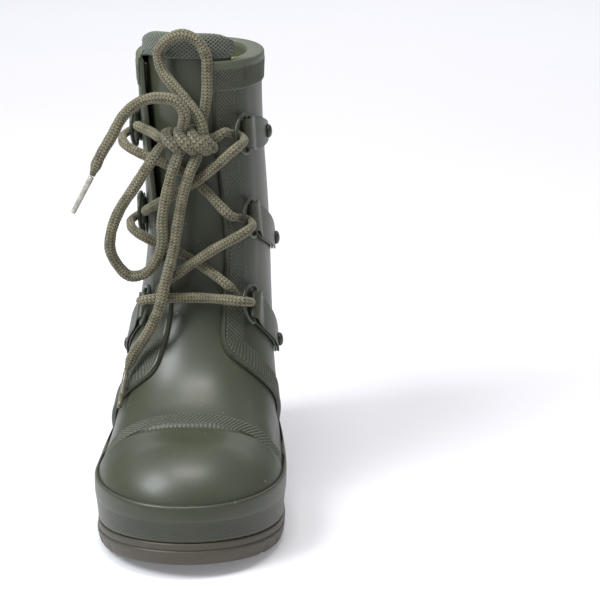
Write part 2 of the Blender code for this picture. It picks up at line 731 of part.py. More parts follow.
def make_backstay():
    stations = np.linspace(heel_station(1.0) + 0.06, COLLAR_STATION - 0.66, 13)
    return patch("backstay", *back_rows(stations, np.radians(9 - 3 * ease(6, 9, stations)), 4), BACKSTAY, rubber())


def make_lining():
    """Bootee from the footbed to the collar: open rows over the forefoot, full rings up the shaft."""
    overlap = UPPER_OVERLAP - 1
    end = heel_station(overlap)
    fan = end - (end - FOOT_ROWS[-1]) * np.linspace(1, 0, 5)[1:] ** 1.8
    stations = np.concatenate([toe_rows(overlap), FOOT_ROWS, fan, SHAFT_ROWS])
    reach = [np.where(stations >= end - 1e-6, math.pi, hem(stations, side, overlap)) for side in (-1, 1)]
    reach[0][0] = reach[1][0] = 0
    return patch("lining", *rows_over(stations, *reach, 21), LINING, lime_lining())


def channel(name, profile_at, start, end, count, look):
    """Piece swept round the last; profile_at(angle) gives the (station, out) corners of its section."""
    loops = []
    for angle in np.linspace(start, end, count):
        profile = np.asarray(profile_at(angle), float)
        loops.append(skin(profile[:, 0], np.full(len(profile), angle), profile[:, 1]))
    return loft(name, loops, look)


def collar_profile(angle):
    """Over the quarter alone in front of the tongue's side edges, over the lining too behind them."""
    top = COLLAR_STATION
    front, back = math.radians(VAMP_REACH[1]), 2 * math.pi - math.radians(VAMP_REACH[-1])
    deep = float(ease(front, front + 0.1, angle) * (1 - ease(back - 0.1, back, angle)))
    leg = 0.3 * float(ease(front + 0.1, front + 0.2, angle) * (1 - ease(back - 0.2, back - 0.1, angle)))
    narrow = ((top + 0.07, 1.5), (top + 0.06, 0.9), (top + 0.04, 0.6), (top + 0.03, 0.6), (top + 0.02, 0.7),
              (top + 0.015, 0.9))
    wide = ((top + 0.09, -2.2), (top + 0.06, -7.3), (top + 0.03 - leg / 4, -7.8), (top - leg, -7.8),
            (top - leg, -7.0), (top + 0.02, -7.0))
    inner = [tuple(n + (w - n) * deep for n, w in zip(*pair)) for pair in zip(narrow, wide)]
    outer = [(top + 0.012, 2.4), (top - 0.55, 2.4), (top - 0.55, 3.1), (top - 0.03, 3.5), (top + 0.06, 2.7)]
    return outer + inner


def make_collar_binding():
    """Textured outside, rolled over the top of the quarters, foam and lining."""
    start = math.radians(MEDIAL_EDGE[0][1] + 0.5)
    end = 2 * math.pi - math.radians(LATERAL_EDGE[0][1] + 0.5)
    return channel("collar_binding", collar_profile, start, end, 34, textured_rubber())


def tongue_profile(_angle):
    top, low = TONGUE_STATION, COLLAR_STATION + 0.16
    return [(low, 0.3), (low, 1.6), (top - 0.4, 2.6), (top + 0.02, 2.0), (top + 0.12, -0.5),
            (top + 0.06, -3.2),
            (top - 0.4, -4.6), (low, -4.0), (low, -2.2), (top + 0.02, -2.2), (top + 0.02, 0.3)]


def make_tongue_binding():
    """Padded knit folded over the top of the tongue."""
    start, end = -math.radians(TONGUE_TOP_REACH[-1] + 1), math.radians(TONGUE_TOP_REACH[1] + 1)
    return channel("tongue_binding", tongue_profile, start, end, 14, knit())


# ============================ rings, straps and rivets ============================

def edge_angle(station, side):
    """Angle of the quarter's edge at a station of the shaft."""
    points = np.array(MEDIAL_EDGE if side > 0 else LATERAL_EDGE)
    shaft = points[points[:, 0] > 4.3][::-1]
    return math.radians(float(smooth(shaft, station)))


def ring_frame(side, level):
    """Bar centre, bar direction, direction away from the edge, and outward direction."""
    station, behind = RINGS[level][:2]
    angle = side * (edge_angle(station, side) + math.radians(behind))
    along, round_it = tangents(station, angle)
    out = normal(station, angle)
    back = side * round_it
    back = unit(back - out * (back @ out))
    up = unit(along - out * (along @ out) - back * (along @ back))
    centre = skin(station, angle, STRAP_BASE + STRAP_THICK + BORE)
    return centre, up, back, out


def ring_forward(side, level):
    """Direction in the ring's plane from its bar to the middle of its bow."""
    _, _, back, out = ring_frame(side, level)
    lift = math.radians(RING_LIFT)
    return out * math.sin(lift) - back * math.cos(lift)


def strap_way(side, level):
    """Path of the strap over the quarter from the bar to beyond the rivet, with its lengths."""
    station, behind, run, swing = RINGS[level]
    share = np.linspace(0, 1.5, 90)
    stations = station + run * share
    start = edge_angle(station, side) + math.radians(behind)
    angles = side * (start + math.radians(swing) * share)
    points = last(stations, angles)
    lengths = np.r_[0, np.cumsum(np.linalg.norm(np.diff(points, axis=0), axis=1))]
    rivet = float(np.interp(1.0, share, lengths))
    return stations, angles, lengths, rivet


def rivet_place(side, level):
    stations, angles, lengths, rivet = strap_way(side, level)
    place = float(np.interp(rivet, lengths, stations)), float(np.interp(rivet, lengths, angles))
    return place, normal(*place)


def make_ring(name, side, level):
    """Wire bent to a D: a straight bar, two corners and a bow."""
    centre, up, _, _ = ring_frame(side, level)
    forward = ring_forward(side, level)
    half, deep, corner = RING_HEIGHT / 2, RING_DEPTH, RING_CORNER
    turn = np.linspace(-math.pi / 2, 0, 4)
    bend = [(half - corner + corner * math.cos(a), corner + corner * math.sin(a)) for a in turn]
    sweep = np.linspace(0, math.pi, 11)[1:-1]
    bow = [(half * math.cos(a), corner + (deep - corner) * math.sin(a)) for a in sweep]
    flat = np.array(bend + bow + [(-u, f) for u, f in bend[::-1]])
    way = unit(np.roll(flat, -1, axis=0) - np.roll(flat, 1, axis=0))
    across = np.outer(way[:, 1], up) - np.outer(way[:, 0], forward)
    plane = np.cross(up, forward)
    middle = centre + np.outer(flat[:, 0], up) + np.outer(flat[:, 1], forward)
    spokes = np.linspace(0, 2 * math.pi, 7)[:-1]
    loops = [m + RING_WIRE * (np.outer(np.cos(spokes), a) + np.outer(np.sin(spokes), plane))
             for m, a in zip(middle, across)]
    points = np.asarray(loops).reshape(-1, 3)
    rings, sides = len(loops), len(spokes)
    faces = grid_faces(rings, sides, wrap=True)
    end = (rings - 1) * sides
    faces += [[end + c, end + (c + 1) % sides, (c + 1) % sides, c] for c in range(sides)]
    return add_mesh(f"d_ring_{name}", points, faces, painted_metal(), centre)


def make_strap(name, side, level):
    """Ribbon from the rivet round the ring's bar and back, two layers riveted through."""
    stations, angles, lengths, rivet = strap_way(side, level)
    centre, up, back, out = ring_frame(side, level)
    end = rivet + RIVET_INSET
    half_thick = STRAP_THICK / 2
    bar_height, turn = BORE + STRAP_THICK, BORE + half_thick
    flat_v = [end - 0.3, end - 1.8, end - 5.0, (end + 4) / 2, 9.0, 5.0, 2.0]
    upper_w = 3 * half_thick + LAYER_GAP
    drop = bar_height + turn - upper_w
    path = [(v, half_thick) for v in flat_v]
    path += [(turn * math.cos(a), bar_height + turn * math.sin(a)) for a in -np.linspace(0.5, 1.5, 5) * math.pi]
    path += [(v, upper_w + drop * (1 - float(ease(0, 9, v)))) for v in flat_v[::-1]]
    path = np.array(path)
    way = unit(np.gradient(path, axis=0))
    side_on = np.column_stack([way[:, 1], -way[:, 0]]) * half_thick
    round_end = 6.8
    start = end - round_end

    def half_width(v):
        straight = STRAP_HALF + (round_end - STRAP_HALF) * np.clip((v - 9) / (start - 9), 0, 1)
        ball = np.sqrt(np.maximum(round_end ** 2 - np.clip(v - start, 0, None) ** 2, 0))
        return np.where(v > start, ball, straight)

    def strap_side(distance):
        """Along the bar's direction near the ring, square to the strap near the rivet."""
        square = ease(10, 0.8 * end, lengths)
        turned = shifted(stations, angles, side * distance)
        slid = stations + distance / np.linalg.norm(tangents(stations, angles)[0], axis=-1)
        return slid * (1 - square) + turned[0] * square, angles * (1 - square) + turned[1] * square

    def surface_of(profile):
        columns = []
        for share in (-1, -0.4, 0.4, 1):
            moved = strap_side(share * half_width(lengths))
            place = [np.interp(profile[:, 0], lengths, values) for values in moved]
            lying = skin(*place, STRAP_BASE + profile[:, 1])
            stiff = (centre + np.outer(share * half_width(profile[:, 0]), up) + np.outer(profile[:, 0], back)
                     + np.outer(profile[:, 1] - bar_height, out))
            flat = ease(2, 9, profile[:, 0])[:, None]
            columns.append(stiff * (1 - flat) + lying * flat)
        return np.stack(columns, 1)

    strap = shell(f"strap_{name}", surface_of(path - side_on), surface_of(path + side_on), rubber())
    place, axis = rivet_place(side, level)
    cut(strap, skin(*place, STRAP_BASE + STRAP_THICK), axis, RIVET_SHANK + HOLE_CLEARANCE, 9.0)
    return strap


def make_rivet(name, side, level):
    """Domed head on the strap, with its shank set through strap and quarter."""
    place, axis = rivet_place(side, level)
    first = unit(np.cross(axis, (0.0, 0.0, 1.0)))
    second = np.cross(axis, first)
    seat = STRAP_BASE + 2 * STRAP_THICK + LAYER_GAP + GAP + 0.1
    foot = OVERLAY[0] + 0.3
    profile = [(0.01, foot), (RIVET_SHANK, foot), (RIVET_SHANK, seat), (RIVET_HEAD, seat)]
    profile += [(RIVET_HEAD * math.cos(a), seat + 0.5 + (RIVET_DOME - 0.5) * math.sin(a))
                for a in np.radians((0, 40, 70, 89.9))]
    base = skin(*place, 0.0)
    spokes = np.linspace(0, 2 * math.pi, 11)[:-1]
    loops = [base + axis * w + r * (np.outer(np.cos(spokes), first) + np.outer(np.sin(spokes), second))
             for r, w in profile]
    return loft(f"rivet_{name}", loops, painted_metal())


# ============================ lace ============================

def cord_points(route, spacing):
    """Points at about even spacing along the smooth curve through the route's own points."""
    route = np.asarray(route, float)
    way = np.r_[0, np.cumsum(np.linalg.norm(np.diff(route, axis=0), axis=1))]
    table = np.column_stack([way, route])
    fine = smooth(table, np.linspace(0, way[-1], 2000))
    length = np.r_[0, np.cumsum(np.linalg.norm(np.diff(fine, axis=0), axis=1))]
    at = np.linspace(0, length[-1], int(round(length[-1] / spacing)) + 1)
    return np.column_stack([np.interp(at, length, fine[:, k]) for k in range(3)])


def add_cord(name, points, radius, look):
    """Round tube along points, as a poly curve with closed ends."""
    curve = bpy.data.curves.new(name, "CURVE")
    curve.dimensions = "3D"
    curve.bevel_depth = radius * METRES
    curve.bevel_resolution = 2
    curve.use_fill_caps = True
    spline = curve.splines.new("POLY")
    spline.points.add(len(points) - 1)
    for knot, point in zip(spline.points, points):
        knot.co = (*(point * METRES), 1)
    curve.materials.append(look)
    cord = bpy.data.objects.new(name, curve)
    bpy.context.collection.objects.link(cord)
    return cord


def ring_pass(side, level):
    """Lace over the ring's bow, down through the ring and out underneath."""
    centre, up, _, out = ring_frame(side, level)
    forward = ring_forward(side, level)
    plane = side * np.cross(up, forward)
    plane = plane if plane @ out > 0 else -plane
    bow = centre + forward * RING_DEPTH
    clear = RING_WIRE + TIGHT_LACE + 0.9
    under = clear - 0.15
    low, high = -up * 2.6, up * 2.6
    return [bow + forward * 6 + plane * (clear - 0.3) + low * 1.5, bow + plane * clear + low,
            bow - forward * (clear + 0.3), bow - plane * under + high,
            bow + forward * 5.5 - plane * (under - 0.3) + high * 1.5]


def on_skin(*places):
    return [skin(station, math.radians(angle), out) for station, angle, out in places]


def lacing_route():
    """The whole laced stretch, from the knot's lateral end down to the lowest rings and back up."""
    route = [(-19.2, 3.4, 216.6)] + on_skin((9.6, -38, 6.6))
    route += ring_pass(-1, 2)[::-1] + on_skin((8.75, -6, 3.5)) + ring_pass(1, 1)[::-1]
    route += on_skin((7.0, 3, 9.8)) + ring_pass(-1, 0)[::-1] + on_skin((5.6, 2, 5.5)) + ring_pass(1, 0)
    route += on_skin((6.65, -3, 3.5)) + ring_pass(-1, 1) + on_skin((8.8, 1, 9.8)) + ring_pass(1, 2)
    return route + [(10.6, -1.0, 217.8)]


def make_knot():
    mesh = bpy.data.meshes.new("lace_knot")
    build = bmesh.new()
    bmesh.ops.create_uvsphere(build, u_segments=14, v_segments=8, radius=1.0)
    bmesh.ops.scale(build, vec=Vector(KNOT_HALF) * METRES, verts=build.verts)
    build.to_mesh(mesh)
    build.free()
    mesh.shade_smooth()
    mesh.materials.append(lace_yarn())
    knot = bpy.data.objects.new("lace_knot", mesh)
    knot.location = Vector(KNOT_CENTRE) * METRES
    bpy.context.collection.objects.link(knot)
    return knot


def make_lace():
    add_cord("lace_crossing", cord_points(lacing_route(), LACING_STEP), TIGHT_LACE, lace_yarn())
    make_knot()
    for name, route in (("lace_loop_up", LOOP_UP), ("lace_loop_side", LOOP_SIDE), ("lace_end_side", END_SIDE),
                        ("lace_end_front", END_FRONT)):
        add_cord(name, cord_points(route, LACE_STEP), LACE, lace_yarn())
    for name, route in (("aglet_side", END_SIDE_AGLET), ("aglet_front", END_FRONT_AGLET)):
        add_cord(name, np.asarray(route, float), AGLET, plastic())


# ============================ the boot ============================

def clear_scene():
    for thing in list(bpy.data.objects):
        bpy.data.objects.remove(thing, do_unlink=True)


def main():
    clear_scene()
    make_outsole()
    make_foxing_band()
    make_wedge_core()
    flat_layer("insole_board", 1.0, -CORE_TOP + GAP, -BOARD_TOP, board())
    make_shank()
    flat_layer("footbed", FOOTBED_INSET, -FOOTBED_LOW, -FOOTBED_TOP, foam())
    make_vamp()
    make_toe_cap()
    make_toe_trim()
    make_toe_puff()
    for name, side in SIDES.items():
        make_quarter(name, side)
        make_ankle_foam(name, side)
        make_eyestay(name, side)
        for level in range(len(RINGS)):
            make_ring(f"{name}_{level + 1}", side, level)
            make_strap(f"{name}_{level + 1}", side, level)
            make_rivet(f"{name}_{level + 1}", side, level)
    make_heel_counter()
    make_backstay()
    make_lining()
    make_collar_binding()
    make_tongue_binding()
    make_lace()


main()
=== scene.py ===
"""Looks of the lace-up rubber rain boot: fine surfaces, materials, floor, light and camera."""

import math

import bmesh
import bpy
import numpy as np
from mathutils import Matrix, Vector


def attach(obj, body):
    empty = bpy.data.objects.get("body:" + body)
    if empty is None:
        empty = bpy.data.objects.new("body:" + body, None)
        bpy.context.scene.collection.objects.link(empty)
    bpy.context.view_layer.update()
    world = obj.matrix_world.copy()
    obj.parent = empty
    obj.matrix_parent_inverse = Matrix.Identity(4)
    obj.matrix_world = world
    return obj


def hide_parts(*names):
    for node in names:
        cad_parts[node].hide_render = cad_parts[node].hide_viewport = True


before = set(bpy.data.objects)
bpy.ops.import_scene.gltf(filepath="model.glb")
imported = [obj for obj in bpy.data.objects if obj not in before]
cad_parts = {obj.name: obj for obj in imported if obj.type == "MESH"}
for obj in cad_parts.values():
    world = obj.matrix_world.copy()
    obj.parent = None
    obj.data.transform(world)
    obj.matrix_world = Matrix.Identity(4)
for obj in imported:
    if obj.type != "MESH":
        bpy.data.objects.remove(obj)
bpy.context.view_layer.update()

MM = 0.001

# ---- the last ----
TOE_TIP = -120.6          # y where the toe dome closes
BALL_Z = 30.0             # height of the widest line round the toe dome
RISE_START = -90.0        # y where the instep starts to climb out of the toe dome
RISE_AT_FIRST = 1.5       # how far it has climbed at the first station
SQUARENESS = 2.15         # exponent of the section ovals, 2 for an ellipse
# station, y and z of the front line, lean of the section plane from upright in degrees,
# length of the section, centre x, half-width, share by which the waist is pinched
STATIONS = (
    (1, -63, 67.0, 0, 74.0, -2.2, 51.3, 0.00),
    (2, -49, 74.5, 0, 87.0, -1.7, 50.8, 0.00),
    (3, -35, 85.0, 8, 106.0, -1.5, 50.0, 0.03),
    (4, -23, 98.5, 22, 120.0, -0.8, 48.8, 0.12),
    (5, -13, 114.0, 42, 129.0, 0.8, 44.8, 0.22),
    (6, -6, 131.0, 65.7, 133.8, 2.7, 40.3, 0.14),
    (7, -1, 150.0, 82, 116.0, 4.3, 36.2, 0.04),
    (8, 3, 172.0, 90, 108.0, 3.2, 35.0, 0.00),
    (9, 6, 200.0, 90, 104.0, 1.8, 34.6, 0.00),
    (10, 9, 230.0, 90, 102.5, 0.3, 34.8, 0.00),
    (11, 12, 258.0, 90, 101.0, 0.0, 35.1, 0.00),
    (12, 14, 275.0, 90, 99.0, 0.0, 35.1, 0.00),
    (13, 15.5, 291.0, 90, 98.0, 0.0, 35.1, 0.00),
)
PINCH_FROM, PINCH_OVER = 60, 50   # degrees round the section where the waist pinch starts, and its run
HEEL_STATION = 6.0        # the section that meets the sole at the back of the heel
COLLAR_STATION = 11.0
TONGUE_STATION = 11.9

# ---- sole heights: (y, z) ----
BAND_TOP = ((-125, 41.0), (-95, 40.3), (-65, 40.3), (-40, 42.0), (-10, 47.0), (20, 55.0), (50, 65.0),
            (80, 75.0), (120, 82.0))
OUTSOLE_THICK = 14.0
TOE_SPRING = 8.6          # how far the tread curls up at the toe tip
SPRING_START = -62.0      # y where it starts
SPRING_POWER = 1.8
UPPER_OVERLAP = 7.0       # how far the upper reaches down inside the foxing band
MOUTH_OVERLAP = 1.3       # depth of the band's inner top edge
# tread gaps: y of the first, pitch, width, run of their sloped walls and depth
CLEAT_FIRST, CLEAT_PITCH, CLEAT_GAP, CLEAT_SLOPE, CLEAT_DEEP = -101.0, 13.0, 4.0, 0.6, 4.0
RIM_POINTS = 29           # points along each side of the sole's outline

# ---- depths of the layers of the upper, outwards from the last: (inner, outer) ----
VAMP = (-1.8, -0.1)
OVERLAY = (0.7, 2.0)      # toe cap and quarters
TEXTURE = (2.5, 3.2)      # eyestays, on top of the quarters
BACKSTAY = (2.7, 3.5)
LINING = (-6.1, -4.5)
BAND_OUT = 4.2            # foxing band's outer face, outside the upper's lower edge
BAND_WALL = 3.2

# ---- edges of the upper's pieces: (station, angle in degrees) ----
CAP_SEAM = 0.93           # station of the toe cap's rear edge on the front line
SEAM_SWEEP = 0.13         # how much later the seam runs at SWEEP_ANGLE
SWEEP_ANGLE = 65.0
TRIM_FROM, TRIM_TO, TRIM_SWEEP = 0.965, 1.46, 0.45
MEDIAL_EDGE = ((11, 14.5), (10.3, 15), (9.3, 15.7), (8.3, 18), (7.3, 18.2), (5.9, 17.3), (5.3, 17), (4.4, 17.2),
               (4.03, 20.3), (3.82, 26.5), (3.72, 37.4), (3.76, 50.4), (3.9, 66), (4.0, 90))
LATERAL_EDGE = ((11, 53.5), (10.4, 52), (9.9, 48.5), (9.2, 47.5), (8.2, 44.6), (7.26, 40), (5.95, 26.5),
                (5.4, 21.6), (4.64, 20.5), (4.2, 21.5), (3.65, 24.1), (3.35, 29.5), (3.28, 38), (3.33, 46),
                (3.42, 56), (3.55, 70), (3.65, 88))
STRIP_FROM, STRIP_TO = 2.2, 13.6  # distances of the textured strip's sides from the quarter's edge
VAMP_REACH = {1: 42, -1: 66}      # angle where the tongue's side edge lies, per side
TONGUE_TOP_REACH = {1: 35, -1: 60}

SIDES = {"medial": 1, "lateral": -1}
# station of each ring's bar, degrees behind the quarter's edge, then the way from the bar to the
# rivet in stations and degrees, lowest ring first
RINGS = ((5.58, 22.2, -0.32, 31), (7.81, 25.6, -0.72, 40), (9.56, 27.0, -0.15, 36))
RING_HEIGHT, RING_DEPTH = 22.6, 15.0      # between wire centres
RING_WIRE = 1.2           # radius
RING_CORNER = 2.6
RING_LIFT = 13.5          # degrees between the ring and the quarter's surface
STRAP_THICK = 1.3
STRAP_HALF = 8.2
STRAP_BASE = 2.6          # depth of the strap's underside
LAYER_GAP = 0.7           # between the strap's two layers
BORE = 1.5                # inner radius of the strap's fold
RIVET_HEAD, RIVET_SHANK = 4.1, 1.4        # radii
RIVET_DOME = 2.4
RIVET_INSET = 6.5         # from the strap's round end

# ---- lace ----
LACE = 3.2                # radius of the slack lace
TIGHT_LACE = 2.9          # radius where it is pulled tight between the rings
LOOP_UP = ((4, -5.8, 225.2), (2, -4.8, 230.5), (-2, -2.5, 236), (-8, 0.5, 243), (-13.5, 4, 248.5),
           (-19.8, 9, 257), (-20.9, 11, 265.5), (-15.4, 8, 273), (-7.2, 5.3, 276.5), (0.2, 4.5, 274),
           (5.8, 4, 266.4), (6.8, 3.2, 252), (6.5, 2.2, 241.5), (5.4, 1.6, 234), (4, 1.6, 227.6))
LOOP_SIDE = ((-18.8, -4, 213.6), (-24.5, -10, 207), (-34.9, -14, 191.6), (-43.8, -14, 178), (-49, -13, 164),
             (-49.8, -12, 155), (-46.2, -11, 145.8), (-38.9, -10, 138.3), (-31, -10.5, 139.5),
             (-24.2, -12, 146.7), (-19.8, -13.5, 158), (-19.2, -13.5, 173), (-16, -13, 189.5),
             (-12.5, -12.5, 202), (-9.6, -9, 209.6))
END_SIDE = ((-7, -6.8, 225.4), (-5.6, -10.2, 233.5), (-10.1, -11.5, 241), (-19.7, -10.5, 243),
            (-29.5, -9.5, 241), (-39.8, -10, 233), (-47.3, -12, 220.5), (-54, -14, 209.5), (-58.5, -15, 199))
END_SIDE_AGLET = ((-58.8, -15.1, 198.4), (-70, -17, 177.6))
END_FRONT = ((1, -6.6, 208.9), (-3, -10.8, 200), (-6.8, -12, 188), (-10, -13, 172), (-13, -14.5, 155),
             (-17.2, -20.3, 139), (-20.8, -25.2, 124.5), (-25.5, -25.6, 113), (-30.5, -23.5, 104),
             (-37, -22.5, 94), (-41.2, -23.5, 84.5))
END_FRONT_AGLET = ((-41.4, -23.4, 83.7), (-45, -34.5, 65.5))


# ============================ numbers along curves ============================

def smooth(table, at):
    """Values of the smooth curve through the (position, value, ...) rows of table."""
    table = np.asarray(table, float)
    place, value = table[:, 0], table[:, 1:]
    slope = np.gradient(value, place, axis=0)
    at = np.clip(np.asarray(at, float), place[0], place[-1])
    i = np.clip(np.searchsorted(place, at) - 1, 0, len(place) - 2)
    run = (place[i + 1] - place[i])[..., None]
    t = (at - place[i])[..., None] / run
    out = ((1 + 2 * t) * (1 - t) ** 2 * value[i] + t * (1 - t) ** 2 * run * slope[i]
           + t * t * (3 - 2 * t) * value[i + 1] + t * t * (t - 1) * run * slope[i + 1])
    return out[..., 0] if value.shape[1] == 1 else out


def ease(low, high, at):
    """0 below low, 1 above high, and a smooth step between."""
    t = np.clip((np.asarray(at, float) - low) / (high - low), 0, 1)
    return t * t * (3 - 2 * t)


def spring(y):
    """How far the sole has curled up towards the toe at y."""
    share = np.clip((SPRING_START - np.asarray(y, float)) / 64.0, 0, 1)
    return TOE_SPRING * share ** SPRING_POWER


def outsole_top(y):
    return OUTSOLE_THICK + 0.93 * spring(y)


def band_top(y):
    return smooth(BAND_TOP, y)


def travelled(points):
    """Distance along a path at each of its points."""
    return np.r_[0, np.cumsum(np.linalg.norm(np.diff(points, axis=0), axis=1))]


def unit(vectors):
    return vectors / np.linalg.norm(vectors, axis=-1, keepdims=True)


# ============================ the last's surface ============================

def section(station):
    """Front line y and z, lean, length, centre x, half-width and pinch of each section."""
    station = np.asarray(station, float)
    y, z, lean, length, centre, half, pinch = np.moveaxis(smooth(STATIONS, station), -1, 0)
    first, second = STATIONS[0], STATIONS[1]
    turn = np.clip(station, 0, 1) * math.pi / 2
    toe_y = first[1] - (first[1] - TOE_TIP) * np.cos(turn)
    run = first[1] - RISE_START
    climb = (second[2] - first[2]) / (second[1] - first[1])
    t = np.clip((toe_y - RISE_START) / run, 0, 1)
    rise = t * t * (3 - 2 * t) * RISE_AT_FIRST + t * t * (t - 1) * climb * run
    toe_z = BALL_Z + (first[2] - RISE_AT_FIRST - BALL_Z) * np.sin(turn) + rise
    in_toe = station < 1
    y = np.where(in_toe, toe_y, y)
    z = np.where(in_toe, toe_z, z)
    lean = np.where(in_toe, 0, np.radians(lean))
    length = np.where(in_toe, 2 * (toe_z - BALL_Z), length)
    half = np.where(in_toe, half * np.sin(turn), half)
    return y, z, lean, length, centre, half, pinch


def last(station, angle):
    """Points of the last itself."""
    y, z, lean, length, centre, half, pinch = section(station)
    sine, cosine = np.sin(angle), np.cos(angle)
    square = (np.abs(sine) ** SQUARENESS + np.abs(cosine) ** SQUARENESS) ** (1 / SQUARENESS)
    half = half * (1 - pinch * ease(PINCH_FROM, PINCH_FROM + PINCH_OVER, np.abs(np.degrees(angle))))
    deep = length * (1 - cosine / square) / 2
    x = centre + half * sine / square
    return np.stack([x, y + deep * np.sin(lean), z - deep * np.cos(lean)], -1)


def tangents(station, angle, step=0.004):
    """How the last moves per station and per radian."""
    along = (last(station + step, angle) - last(station - step, angle)) / (2 * step)
    round_it = (last(station, angle + step) - last(station, angle - step)) / (2 * step)
    return along, round_it


def normal(station, angle):
    along, round_it = tangents(station, angle)
    return unit(np.cross(round_it, along))


def skin(station, angle, out):
    """Points that lie out millimetres outside the last."""
    station, angle, out = np.broadcast_arrays(*(np.asarray(v, float) for v in (station, angle, out)))
    return last(station, angle) + out[..., None] * normal(station, angle)


def hem(station, side, overlap=UPPER_OVERLAP):
    """Angle where a section meets the upper's lower edge, or pi where it never does."""
    station = np.asarray(station, float)
    low, high = np.full(station.shape, 0.02), np.full(station.shape, math.pi)
    for _ in range(36):
        middle = (low + high) / 2
        point = last(station, side * middle)
        above = point[..., 2] > band_top(point[..., 1]) - overlap
        low = np.where(above, middle, low)
        high = np.where(above, high, middle)
    return low


def first_station(overlap=UPPER_OVERLAP):
    """Station whose front line just clears the upper's lower edge at the toe."""
    low, high = 0.0, 1.0
    for _ in range(36):
        middle = (low + high) / 2
        y, z = (float(v) for v in section(middle)[:2])
        low, high = (middle, high) if z < band_top(y) - overlap else (low, middle)
    return high


def heel_station(overlap=UPPER_OVERLAP):
    """Station whose back line meets the upper's lower edge at the heel."""
    low, high = HEEL_STATION - 1, HEEL_STATION + 1
    for _ in range(36):
        middle = (low + high) / 2
        point = last(middle, math.pi)
        low, high = (middle, high) if point[2] < band_top(point[1]) - overlap else (low, middle)
    return low


# ============================ paths on the last ============================

def even(stations, angles, count):
    """The same path with count points at even distances."""
    points = last(stations, angles)
    way = travelled(points)
    at = np.linspace(0, way[-1], count)
    return np.interp(at, way, stations), np.interp(at, way, angles)


def edge_path(points, side, count):
    """Path through (station, degrees) points, evenly spaced."""
    table = np.column_stack([np.arange(len(points)), np.asarray(points, float)])
    fine = smooth(table, np.linspace(0, len(points) - 1, 400))
    return even(fine[:, 0], side * np.radians(fine[:, 1]), count)


def shifted(stations, angles, distance, steps=6):
    """The path moved sideways over the surface, to the left of its direction seen from outside."""
    stations, angles = stations.copy(), angles.copy()
    distance = np.asarray(distance, float)[..., None]
    for _ in range(steps):
        points = last(stations, angles)
        way = unit(np.gradient(points, axis=0))
        along, round_it = tangents(stations, angles)
        move = unit(np.cross(unit(np.cross(round_it, along)), way)) * distance / steps
        a, b, c = (along * along).sum(1), (along * round_it).sum(1), (round_it * round_it).sum(1)
        p, q = (along * move).sum(1), (round_it * move).sum(1)
        bottom = a * c - b * b
        stations = stations + (c * p - b * q) / bottom
        angles = angles + (a * q - b * p) / bottom
    return stations, angles


def sole_side(side, overlap, count):
    """Path along the upper's lower edge from the toe tip to the back of the heel."""
    start, end = first_station(overlap), heel_station(overlap)
    share = np.linspace(0, 1, 500)
    stations = start + (end - start) * (1 - (1 - share) ** 2)
    angles = side * hem(stations, side, overlap)
    angles[0] = 0
    angles[-1] = side * math.pi
    return even(stations, angles, count)


def both_sides(half):
    """Closed loop round the foot (toe tip, medial side, heel, lateral side) from its two halves."""
    return np.concatenate([half(1), half(-1)[-2:0:-1]])


def plan_outline(count=RIM_POINTS):
    """Plan x, y and outward direction of the upper's lower edge."""
    loop = both_sides(lambda side: last(*sole_side(side, UPPER_OVERLAP, count)))[:, :2]
    way = np.roll(loop, -1, axis=0) - np.roll(loop, 1, axis=0)
    outward = unit(np.column_stack([way[:, 1], -way[:, 0]]))
    return loop, outward


def four_sided(front, back, foot, top):
    """Grid of last positions blended between four paths that meet at their corners.

    front and back run downwards, foot and top run from front to back; each is (stations, angles).
    """
    u, v = np.linspace(0, 1, len(top[0]))[None, :], np.linspace(0, 1, len(front[0]))[:, None]
    grids = []
    for k in (0, 1):
        f, b, s, t = front[k][:, None], back[k][:, None], foot[k][None, :], top[k][None, :]
        corners = (1 - u) * (1 - v) * f[0] + u * (1 - v) * b[0] + (1 - u) * v * f[-1] + u * v * b[-1]
        grids.append((1 - u) * f + u * b + (1 - v) * t + v * s - corners)
    return grids


def tongue_reach(stations, side):
    """Side edge of the vamp: down to the sole at the front, then under the quarter's edge."""
    up = np.radians(VAMP_REACH[side] + (TONGUE_TOP_REACH[side] - VAMP_REACH[side]) * ease(10.2, 11.0, stations))
    share = ease(4.4, 5.4, stations)
    return hem(stations, side) * (1 - share) + up * share


def quarter_edge(side, count):
    path = edge_path(MEDIAL_EDGE if side > 0 else LATERAL_EDGE, side, count)
    path[1][-1] = side * hem(path[0][-1:], side)[0]
    return path


def overlay_depth(stations):
    """Depth of what lies on the vamp at its lower edge: cap and trim, nothing, then the quarters."""
    cap = 1 - ease(2.1, 2.5, stations)
    quarter = ease(2.7, 3.2, stations)
    return OVERLAY[1] * np.maximum(cap, quarter)


def edge_angle(station, side):
    """Angle of the quarter's edge at a station of the shaft."""
    points = np.array(MEDIAL_EDGE if side > 0 else LATERAL_EDGE)
    shaft = points[points[:, 0] > 4.3][::-1]
    return math.radians(float(smooth(shaft, station)))


def ring_frame(side, level):
    """Bar centre, bar direction, direction away from the edge, and outward direction."""
    station, behind = RINGS[level][:2]
    angle = side * (edge_angle(station, side) + math.radians(behind))
    along, round_it = tangents(station, angle)
    out = normal(station, angle)
    back = side * round_it
    back = unit(back - out * (back @ out))
    up = unit(along - out * (along @ out) - back * (along @ back))
    centre = skin(station, angle, STRAP_BASE + STRAP_THICK + BORE)
    return centre, up, back, out


def ring_forward(side, level):
    """Direction in the ring's plane from its bar to the middle of its bow."""
    _, _, back, out = ring_frame(side, level)
    lift = math.radians(RING_LIFT)
    return out * math.sin(lift) - back * math.cos(lift)


